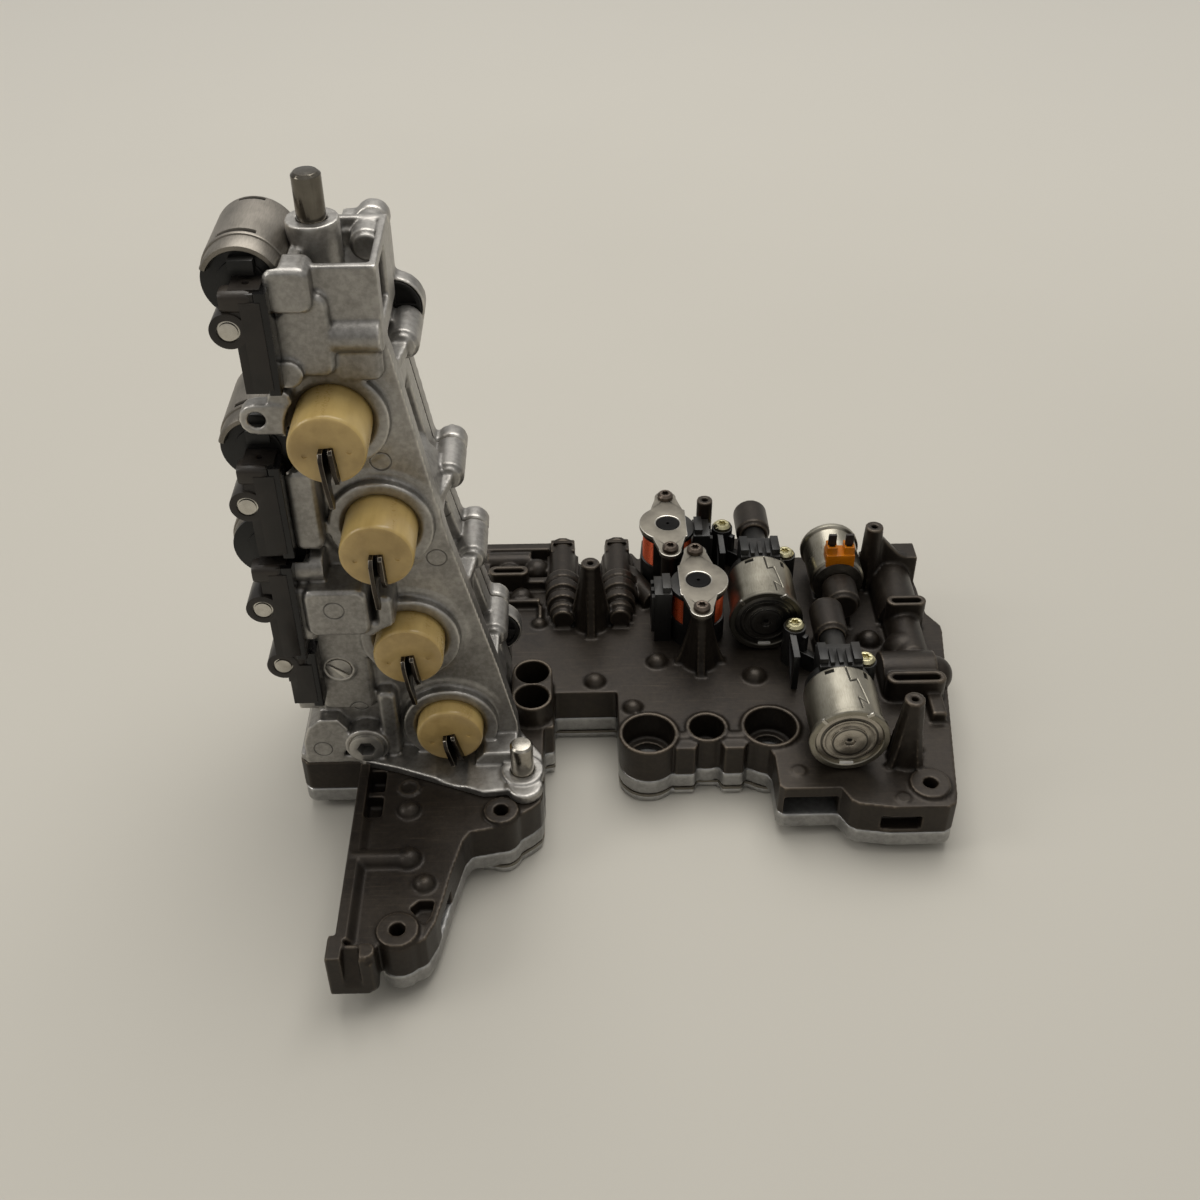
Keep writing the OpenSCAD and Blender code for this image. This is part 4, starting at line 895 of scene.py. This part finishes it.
WARM = (1.0, 0.98, 0.945)
SKY_TINT = (1.0, 0.985, 0.955)
LAMPS = (
    Lamp("overhead", (0.1, 0.5, 1.4), 1.2, 14.0, WARM),
    Lamp("left_window", (-1.2, -0.2, 1.0), 0.6, 4.2, WARM),
    Lamp("front_fill", (0.6, -1.3, 1.0), 0.9, 0.8, (1.0, 0.98, 0.95)),
)


@dataclass
class Studio:
    """Camera at the photograph's angle, pale ground and soft light."""

    spot: tuple[float, float, float] = (0.0365, -0.426, 0.501)
    tilt: float = 39.25
    roll: float = -0.3
    turn: float = 1.1
    lens: float = 42.0
    sensor: float = 36.0
    ground_size: float = 60.0
    ground_gap: float = 0.0004
    target: tuple[float, float, float] = (0.05, 0.05, 0.08)

    def build(self) -> None:
        """Make the camera, the ground and the lamps."""
        self.camera()
        self.ground()
        self.light()

    def camera(self) -> None:
        """Set the camera as the photograph's was fitted."""
        tilt, roll, turn = (math.radians(x) for x in (self.tilt, self.roll, self.turn))
        ahead = Vector((0.0, math.cos(tilt), -math.sin(tilt)))
        over = Vector((0.0, math.sin(tilt), math.cos(tilt)))
        side = Vector((1.0, 0.0, 0.0))
        right = side * math.cos(roll) + over * math.sin(roll)
        up = over * math.cos(roll) - side * math.sin(roll)
        swing = Matrix.Rotation(-turn, 3, "Z")
        columns = [swing @ v for v in (right, up, -ahead)]
        data = bpy.data.cameras.new("photo_camera")
        data.lens = self.lens
        data.sensor_width = self.sensor
        data.clip_start, data.clip_end = 0.01, 50.0
        made = bpy.data.objects.new("photo_camera", data)
        made.matrix_world = Matrix.Translation(self.spot) @ Matrix(columns).transposed().to_4x4()
        bpy.context.scene.collection.objects.link(made)
        bpy.context.scene.camera = made

    def ground(self) -> None:
        """Lay the pale ground under the part."""
        half = self.ground_size / 2
        reach = np.linspace(-half, half, 3)
        x, y = np.meshgrid(reach, reach)
        low = CAD_BOX[0][2] - self.ground_gap
        made = grid("ground", np.stack([x, y, np.full_like(x, low)], -1), False)
        dress(made, GROUND)

    def light(self) -> None:
        """Hang the lamps and set a sky that is bright overhead and behind and dim in front."""
        for lamp in LAMPS:
            lamp.hang(Vector(self.target))
        world = bpy.data.worlds.new("soft_sky")
        world.use_nodes = True
        sky = Shader(world.node_tree)
        upward = sky.node("ShaderNodeTexCoord").outputs["Generated"]
        split = sky.node("ShaderNodeSeparateXYZ", None, {0: upward})
        behind, height = (Signal(sky, split.outputs[axis.value]) for axis in (Axis.Y, Axis.Z))
        strength = 0.22 + height.span(0.12, 0.85) * 0.27 + behind.span(0.15, 0.95) * 0.22
        glow = sky.node("ShaderNodeBackground", None, {"Color": SKY_TINT, "Strength": strength})
        sky.node("ShaderNodeOutputWorld", None, {"Surface": glow.outputs[0]})
        bpy.context.scene.world = world
        bpy.context.scene.view_settings.view_transform = "Standard"


def prism(
    name: str, outline: np.ndarray, levels: np.ndarray, turn: Matrix, finish: object, slot: str, *nodes: str
) -> None:
    """Add a dressed prism to the housing: an outline that shrinks towards its middle at its levels.

    A point of level (h, k) is the outline's middle plus k times its offset, at height h.

    Args:
        name: Name of the piece.
        outline: Corners in two dimensions, in millimetres.
        levels: Rows of height and share; a share of 0 closes an end.
        turn: Placing matrix, in millimetres.
        finish: Finish of the piece.
        slot: Material slot of the record.
        nodes: CAD nodes that it replaces.
    """
    middle = outline.mean(0)
    flat = middle + levels[:, 1][:, None, None] * (outline - middle)
    high = np.broadcast_to(levels[:, 0][:, None, None], flat.shape[:2] + (1,))
    points = np.concatenate([flat, high], -1)
    matrix = np.array(turn)
    piece = grid(name, (points @ matrix[:3, :3].T + matrix[:3, 3]) * MM, True)
    dress(piece, finish)
    settle(piece, HOUSING, slot, *nodes)


def rounded(width: float, height: float, corner: float, steps: int = 4) -> np.ndarray:
    """Outline of a rectangle with round corners about the origin.

    A corner is its middle plus the radius times (cos t, sin t), over its own quarter turn.

    Args:
        width: Full width.
        height: Full height.
        corner: Radius of the corners.
        steps: Steps of each corner.

    Returns:
        Corners in two dimensions.
    """
    turn = np.linspace(0.0, 0.5 * math.pi, steps + 1)
    quarter = np.arange(4)[:, None] * 0.5 * math.pi + turn
    side_x = np.array([1, -1, -1, 1])[:, None] * (width / 2 - corner)
    side_y = np.array([1, 1, -1, -1])[:, None] * (height / 2 - corner)
    outline = np.stack([side_x + corner * np.cos(quarter), side_y + corner * np.sin(quarter)], -1)
    return outline.reshape(-1, 2)


def cushion(depth: float, soft: float) -> np.ndarray:
    """Levels of a block: full from 15 to 85 percent of its depth, and 1 - soft and then 0 at each end."""
    near, far, inset = 0.15 * depth, 0.85 * depth, 1 - soft
    return np.array([[0, 0], [0, inset], [near, 1], [far, 1], [depth, inset], [depth, 0]])


def lying(x: float, y: float, z: float, roll: float = 0.0) -> Matrix:
    """Placing matrix whose height runs along Y and whose outline lies in X and Z, turned by a roll."""
    turned = Matrix.Rotation(-roll, 4, "Y") @ Matrix.Rotation(-0.5 * math.pi, 4, "X")
    return Matrix.Translation((x, y, z)) @ turned


@dataclass
class CanShell:
    """Drawn can with a rolled lip, a locked seam in its top and pressed windows."""

    node: str
    x: float
    y: float
    z: float
    radius: float
    length: float
    finish: BrightMetal
    windows: tuple[Window, ...]
    lip: float = 1.4
    lip_depth: float = 3.0
    seamed: bool = True
    front_dark: float = 0.0
    groove: float = 0.55
    groove_depth: float = 0.5
    rows: int = 90
    columns: tuple[int, int] = (180, 70)
    close_turn: float = 0.75
    seam_arcs: tuple[float, ...] = (1.0, 2.0, 5.4, 8.6, 4.2, 5.2)
    seam_shares: tuple[float, ...] = (1.0, 0.67, 0.72, 0.27, 0.34, 0.08)

    def seam(self) -> np.ndarray:
        """Corners of the locked seam, as arc from the top and distance from the front."""
        return np.stack([self.seam_arcs, np.array(self.seam_shares) * self.length], -1)

    def profile(self) -> np.ndarray:
        """Section of the shell: out of the front recess, over the lip, along the wall and in at the rear.

        Returns:
            Rows of radius and place along Y.
        """
        r, rim, full, deep = self.radius, self.radius + self.lip, self.length, self.lip_depth
        if self.lip > 0.0:
            head = [[0, 2.2], [r - 1.6, 2.2], [r - 1.6, 0.4], [r - 1.2, 0], [rim - 0.4, 0], [rim, 0.5]]
            head += [[rim, deep - 0.5], [rim - 0.4, deep], [r, deep + 0.4]]
            start = deep + 0.6
        else:
            head = [[0, 0.0], [r - 0.8, 0.0], [r - 0.2, 0.25]]
            start = 0.7
        wall = np.linspace(start, full - 1.4, self.rows)
        tail = [[r - 0.15, full - 0.7], [r - 0.6, full - 0.2], [r - 1.2, full], [0, full]]
        return np.concatenate([np.array(head), np.stack([np.full_like(wall, r), wall], -1), np.array(tail)])

    def turns(self) -> np.ndarray:
        """Angles of the shell: even steps, close within close_turn of the top and wider round the rest.

        Returns:
            One row of angles in radians.
        """
        edge = self.close_turn
        near = np.linspace(-edge, edge, self.columns[0], endpoint=False)
        far = np.linspace(edge, 2.0 * math.pi - edge, self.columns[1], endpoint=False)
        return np.concatenate([near, far])[None, :]

    def away(self, arc: np.ndarray, place: np.ndarray) -> np.ndarray:
        """Distance of each point of the unrolled shell from the seam.

        The nearest place on a run is its start plus the run times the offset's share along it, from 0 to 1.

        Args:
            arc: Arc from the top.
            place: Distance from the front.

        Returns:
            Least distance to the seam's straight runs.
        """
        corners = self.seam()
        start, run = corners[:-1], np.diff(corners, axis=0)
        off = np.stack([arc, place], -1)[..., None, :] - start
        share = np.clip((off * run).sum(-1) / (run * run).sum(-1), 0.0, 1.0)
        return np.linalg.norm(off - share[..., None] * run, axis=-1).min(-1)

    def build(self) -> bpy.types.Object:
        """Revolve the profile, press in the seam and windows and dress the can.

        A wall point sinks by the groove's depth, less with its distance from the seam, and inside a
        window by the window's depth.

        Returns:
            The can.
        """
        profile, turn = self.profile(), self.turns()
        wrapped = np.where(turn > math.pi, turn - 2.0 * math.pi, turn)
        arc = self.radius * wrapped + 0.0 * profile[:, :1]
        place = profile[:, 1:] + 0.0 * turn
        start = self.lip_depth + 0.3 if self.lip else 0.5
        wall = (np.abs(profile[:, :1] - self.radius) < 0.05) & (place > start)
        dip = np.zeros_like(arc)
        dark = np.zeros_like(arc)
        # The seam is pressed in and painted dark along its groove: painted shade.
        if self.seamed:
            line = np.clip(1.6 - 1.6 * self.away(arc, place) / self.groove, 0.0, 1.0) * wall
            dip, dark = self.groove_depth * line, 0.92 * line
        # The windows are pressed in and painted dark inside: painted shade.
        for arc_0, arc_1, place_0, place_1, depth in self.windows:
            inside = (arc > arc_0) & (arc < arc_1) & (place > place_0) & (place < place_1) & wall
            dip = np.where(inside, depth, dip)
            dark = np.where(inside & (depth > 0.0), 1.0, dark)
        front = np.where(place < 0.45, 1.0, 0.4) * (place < self.lip_depth - 0.2)
        dark = np.maximum(dark, self.front_dark * front)
        points = revolve(profile, turn)
        shrink = 1.0 - dip / np.maximum(profile[:, :1], 0.1)
        points = points * np.stack([shrink, np.ones_like(shrink), shrink], -1)
        points = (points + np.array([self.x, self.y, self.z])) * MM
        piece = grid(self.node + "_shell", points, True, {"dark": dark})
        dress(piece, self.finish)
        settle(piece, HOUSING, node_slot(self.node), self.node)
        return piece


@dataclass
class Winding:
    """Copper winding whose level turns stand out as ridges."""

    node: str
    x: float
    y: float
    pitch: float = COPPER.pitch
    ridge: float = 0.18
    rows: int = 260
    columns: int = 56

    def build(self) -> bpy.types.Object:
        """Revolve a ridged profile round the upright axis and dress it.

        The radius at height z is the full one less the ridge times 1 - abs(sin(pi z / pitch)).

        Returns:
            The winding.
        """
        low, high = box_mm(self.node)
        radius = (high[0] - low[0]) / 2
        z = np.linspace(low[2], high[2], self.rows)
        swell = self.ridge * (np.abs(np.sin(math.pi * z / self.pitch)) - 1.0)
        wall = np.stack([radius + swell, z], -1)
        core = 0.58 * radius
        profile = np.concatenate([[[core, z[0]]], wall, [[core, z[-1]]], [[core, z[0]]]])
        turn = np.linspace(0.0, 2.0 * math.pi, self.columns, endpoint=False)[None, :]
        turned = revolve(profile, turn)[..., [0, 2, 1]]
        points = (turned + np.array([self.x, self.y, 0.0])) * MM
        piece = grid(self.node + "_wire", points, True)
        dress(piece, COPPER)
        settle(piece, HOUSING, node_slot(self.node), self.node)
        return piece


@dataclass
class PlateStack:
    """Valve plate: cover, separator, lower and upper castings, spools and their screws."""

    voxel: float = 0.7
    spring_end: tuple[float, float, float] = (0.0, 176.0, 36.5)
    travel_left: float = 0.667

    def build(self) -> None:
        """Build and dress the stack."""
        Casting("upper_valve_body", DARK_CAST, self.voxel, 4, 196000).build()
        Casting("lower_valve_body", PALE_CAST, 1.1, 4, 60000).build()
        Casting("bottom_cover", PALE_CAST, 1.1, 3, 38000).build()
        machine(SHEET_STEEL, 0.0, "separator_plate")
        machine(BRIGHT_STEEL, 0.2, "cover_screws", "bore_plugs")
        machine(DARK_STEEL, 0.2, "retainer_clips")
        for index in (1, 2):
            machine(BRIGHT_STEEL, 0.15, f"spool_valve_{index}")
            spring = MachinedPiece(f"spool_spring_{index}", DARK_STEEL, 0.0).build()
            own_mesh(spring)


@dataclass
class PressureSolenoids:
    """Three canned solenoids with their plugs, brackets and screws."""

    fronts: tuple[float, float] = (22.0, 106.6)
    radius: float = 17.0
    length: float = 32.5
    rear_y: float = 142.0
    windows: tuple[Window, ...] = ((-9.0, -4.5, 28.5, 30.6, 0.8), (10.0, 12.2, 26.5, 30.6, 0.8))
    front_shades: tuple[float, float] = (0.12, 0.72)
    crimp_turns: tuple[float, float] = (-0.8, 0.45)
    crimp: tuple[float, float, float] = (3.4, 1.7, 0.4)
    tick: tuple[float, float, float] = (6.4, 1.4, 0.3)
    blade: tuple[float, float, float] = (4.3, 1.6, 1.0)

    def build(self) -> None:
        """Build and dress the solenoids: two drawn shells, and the third can from its solid."""
        for index, ((x, z), y) in enumerate(zip(POLE_AXES, self.fronts), 1):
            can = f"solenoid_can_{index}"
            shell = CanShell(can, x, y, z, self.radius, self.length, CAN_NICKEL, self.windows)
            shell.front_dark = self.front_shades[index - 1]
            shell.build()
            self.crimps(index, x, y, z)
            machine(BLACK_PLASTIC, 0.3, f"solenoid_connector_{index}", f"solenoid_bracket_{index}")
        rear = MachinedPiece("solenoid_can_3", CAN_NICKEL, 0.2).build()
        paint(rear, POLE_3, face_places(rear)[0][:, 1] < self.rear_y - 0.1)
        # The pale rims on the bevels of the pole faces are painted highlights: thin bright rings on the
        # turned edges.
        machine(POLE_1, 0.3, "solenoid_pole_1", rim=PIN_STEEL)
        machine(POLE_2, 0.3, "solenoid_pole_2", rim=PIN_STEEL)
        machine(POLE_3, 0.25, "solenoid_pole_3")
        machine(ORANGE, 0.3, "solenoid_connector_3")
        self.blades()
        machine(ZINC_SCREW, 0.12, "bracket_screws")

    def blades(self) -> None:
        """Stand the two flat blade terminals in the rear plug."""
        node = "connector_terminals"
        low, high = box_mm(node)
        wide, thick, taller = self.blade
        outline, levels = rounded(wide, thick, 0.4), cushion(high[2] - low[2] + taller, 0.04)
        for number, x in enumerate((low[0] + 0.35 * wide, high[0] - 0.35 * wide), 1):
            spot = Matrix.Translation((x, (low[1] + high[1]) / 2, low[2]))
            prism(f"terminal_blade_{number}", outline, levels, spot, BROWN_PLASTIC, node_slot(node), node)

    def crimps(self, index: int, x: float, y: float, z: float) -> None:
        """Fold two tabs over the lip of a can and set the bright tick low on its front.

        A tab at turn t lies at (x + r sin t, z + r cos t), where r is just past the can's radius.

        Args:
            index: Number of the solenoid.
            x: Place of its axis.
            y: Place of its front.
            z: Height of its axis.
        """
        reach = self.radius + 0.5
        for number, turn in enumerate(self.crimp_turns, 1):
            spot = lying(x + reach * math.sin(turn), y - 0.35, z + reach * math.cos(turn), turn)
            name = f"crimp_tab_{index}_{number}"
            prism(name, rounded(*self.crimp), cushion(1.2, 0.12), spot, PIN_STEEL, CAN_SLOT)
        spot = lying(x, y + 0.35, z - self.radius + 2.4)
        prism(f"lip_slot_{index}", rounded(*self.tick), cushion(0.7, 0.08), spot, WHITE_TICK, CAN_SLOT)


@dataclass
class SwitchSolenoids:
    """Two open solenoids with yoke plates and copper windings."""

    axes: tuple[tuple[float, float], ...] = ((83.9, 170.9), (96.4, 122.6))
    pole_radius: float = 6.3
    pole_low: float = 63.5

    def build(self) -> None:
        """Build and dress the solenoids."""
        for index, (x, y) in enumerate(self.axes, 1):
            Winding(f"coil_winding_{index}", x, y).build()
            bobbin = MachinedPiece(f"coil_frame_{index}", BLACK_PLASTIC, 0.3).build()
            middle, _ = face_places(bobbin)
            disc = np.hypot(middle[:, 0] - x, middle[:, 1] - y) < self.pole_radius
            paint(bobbin, POLE_DISC, disc & (middle[:, 2] > self.pole_low))
            machine(SHEET_STEEL, 0.3, f"yoke_plate_{index}", rim=PIN_STEEL)
        machine(BROWN_SCREW, 0.12, "yoke_screws")


@dataclass
class UprightBlock:
    """Upright valve block with its plugs, dowel and end caps."""

    voxel: float = 0.68

    def build(self) -> None:
        """Build and dress the block."""
        Casting("front_casting", SILVER_CAST, self.voxel, 5, 196000).build()
        Casting("rear_casting", SILVER_CAST, 1.0, 6, 76000).build()
        machine(DARK_STEEL, 0.0, "upright_separator")
        machine(BRIGHT_STEEL, 0.2, "upright_bolts")
        machine(SILVER_CAST, 0.4, "socket_plug")
        machine(SILVER_CAST, 0.3, "slotted_plug")
        machine(BRIGHT_STEEL, 0.3, "locating_dowel")
        machine(ROD_STEEL, 0.3, "parking_rod")
        machine(BLACK_PLASTIC, 0.3, "upper_end_cap", "lower_end_cap")


@dataclass
class ShiftPistons:
    """Four shift pistons with their forked fingers."""

    count: int = 4

    def build(self) -> None:
        """Build and dress the pistons and fingers."""
        for index in range(1, self.count + 1):
            piston = MachinedPiece(f"shift_piston_{index}", IVORY, 0.65, 3).build()
            # The faces looking forward get the darker ivory copy: painted shade.
            paint(piston, IVORY_SHADED_FACE, face_places(piston)[1][:, 1] < -0.9)
            machine(DARK_STEEL, 0.25, f"shift_finger_{index}", rim=EDGE_STEEL)


@dataclass
class SideSolenoids:
    """Three cans on the left side with caps, retainer strips and pins."""

    cans: tuple[tuple[float, float], ...] = ((-82.0, 273.0), (-87.0, 203.0), (-90.0, 155.0))
    front: float = 42.0
    radius: float = 16.0
    length: float = 33.0
    windows: tuple[Window, ...] = ((-9.0, 6.0, 1.6, 4.2, 1.4), (-5.0, 5.0, 29.6, 31.4, 0.7))
    collar_turns: tuple[tuple[float, float], ...] = ((-1.15, 1.15), (-1.3, -0.35), (-1.3, -0.35))
    collar_wall: float = 2.6
    strips: int = 4
    lath: tuple[float, float, float] = (4.6, 11.0, 0.6)
    barrel: tuple[float, float, float] = (9.0, 8.4, 11.0)
    hole_patch: tuple[float, float, float] = (2.8, 2.8, 1.3)

    def build(self) -> None:
        """Build and dress the side pieces."""
        for index, (x, z) in enumerate(self.cans, 1):
            can = f"side_can_{index}"
            shell = CanShell(can, x, self.front, z, self.radius, self.length, CAN_GREY, self.windows, 0.0)
            shell.seamed, shell.rows, shell.columns = False, 70, (110, 50)
            shell.build()
            machine(BLACK_PLASTIC, 0.5, f"side_cap_{index}")
            self.collar(index, x, z)
        for index in range(1, self.strips + 1):
            machine(STRIP_BLACK, 0.4, f"retainer_strip_{index}")
            self.clip(index)
        machine(PIN_STEEL, 0.4, "retainer_pins")

    def collar(self, index: int, x: float, z: float) -> None:
        """Carry the can's bare lip over the top of its cap, as an arc of a closed profile.

        The profile is revolved between the two turns, and each end closes at its own middle.

        Args:
            index: Number of the can.
            x: Place of its axis.
            z: Height of its axis.
        """
        low, high = box_mm(f"side_cap_{index}")
        front, back, outer = low[1] + 2.6, high[1], self.radius - 0.7
        inner = outer - self.collar_wall
        rim = [[outer, front + 1.0], [outer - 0.5, front], [outer - 2.1, front], [inner, front + 0.6]]
        profile = np.array([[inner, back], [outer, back], *rim, [inner, back]])
        arc = revolve(profile, np.linspace(*self.collar_turns[index - 1], 60)[None, :])
        ends = [np.broadcast_to(arc[:, k].mean(0), (len(profile), 1, 3)) for k in (0, -1)]
        points = np.concatenate([ends[0], arc, ends[1]], 1)
        piece = grid(f"can_collar_{index}", (points + np.array([x, 0.0, z])) * MM, False)
        dress(piece, CAN_GREY)
        settle(piece, HOUSING, CAN_SLOT)

    def clip(self, index: int) -> None:
        """Lay the glossy lath along a strip's edge, the clip barrel across its top, and a flat gloss-black
        patch on the barrel as painted shade for its hole.

        Args:
            index: Number of the strip.
        """
        low, high = box_mm(f"retainer_strip_{index}")
        spot = Matrix.Translation((high[0] + 0.2, low[1] + 0.4 + self.lath[1] / 2, low[2] + 0.6))
        levels = cushion(high[2] - low[2] - 1.2, 0.02)
        prism(f"strip_lath_{index}", rounded(*self.lath), levels, spot, GLOSS_BLACK, PLASTIC_SLOT)
        deep, thick, wide = self.barrel
        x, y, z = low[0] + 5.0, low[1] + deep / 2 + 0.3, high[2] - thick / 2 - 0.2
        across = Matrix(((0, 0, 1, x), (1, 0, 0, y), (0, 1, 0, z), (0, 0, 0, 1)))
        outline, levels = rounded(deep, thick, 2.6), cushion(wide, 0.1)
        prism(f"clip_barrel_{index}", outline, levels, across, BROWN_PLASTIC, PLASTIC_SLOT)
        # A flat gloss-black patch on the barrel's top stands in for its hole: painted shade.
        spot = Matrix.Translation((x + 0.55 * wide, y, high[2] - 0.4))
        levels = cushion(0.3, 0.06)
        prism(f"clip_hole_shade_{index}", rounded(*self.hole_patch), levels, spot, GLOSS_BLACK, PLASTIC_SLOT)


def main() -> None:
    """Build the scene in order."""
    logging.basicConfig(level=logging.INFO, format="%(name)s: %(message)s")
    for part in (
        Studio(),
        PlateStack(),
        PressureSolenoids(),
        SwitchSolenoids(),
        UprightBlock(),
        ShiftPistons(),
        SideSolenoids(),
    ):
        LOG.info("building %s", type(part).__name__)
        part.build()


if __name__ == "__main__":
    main()
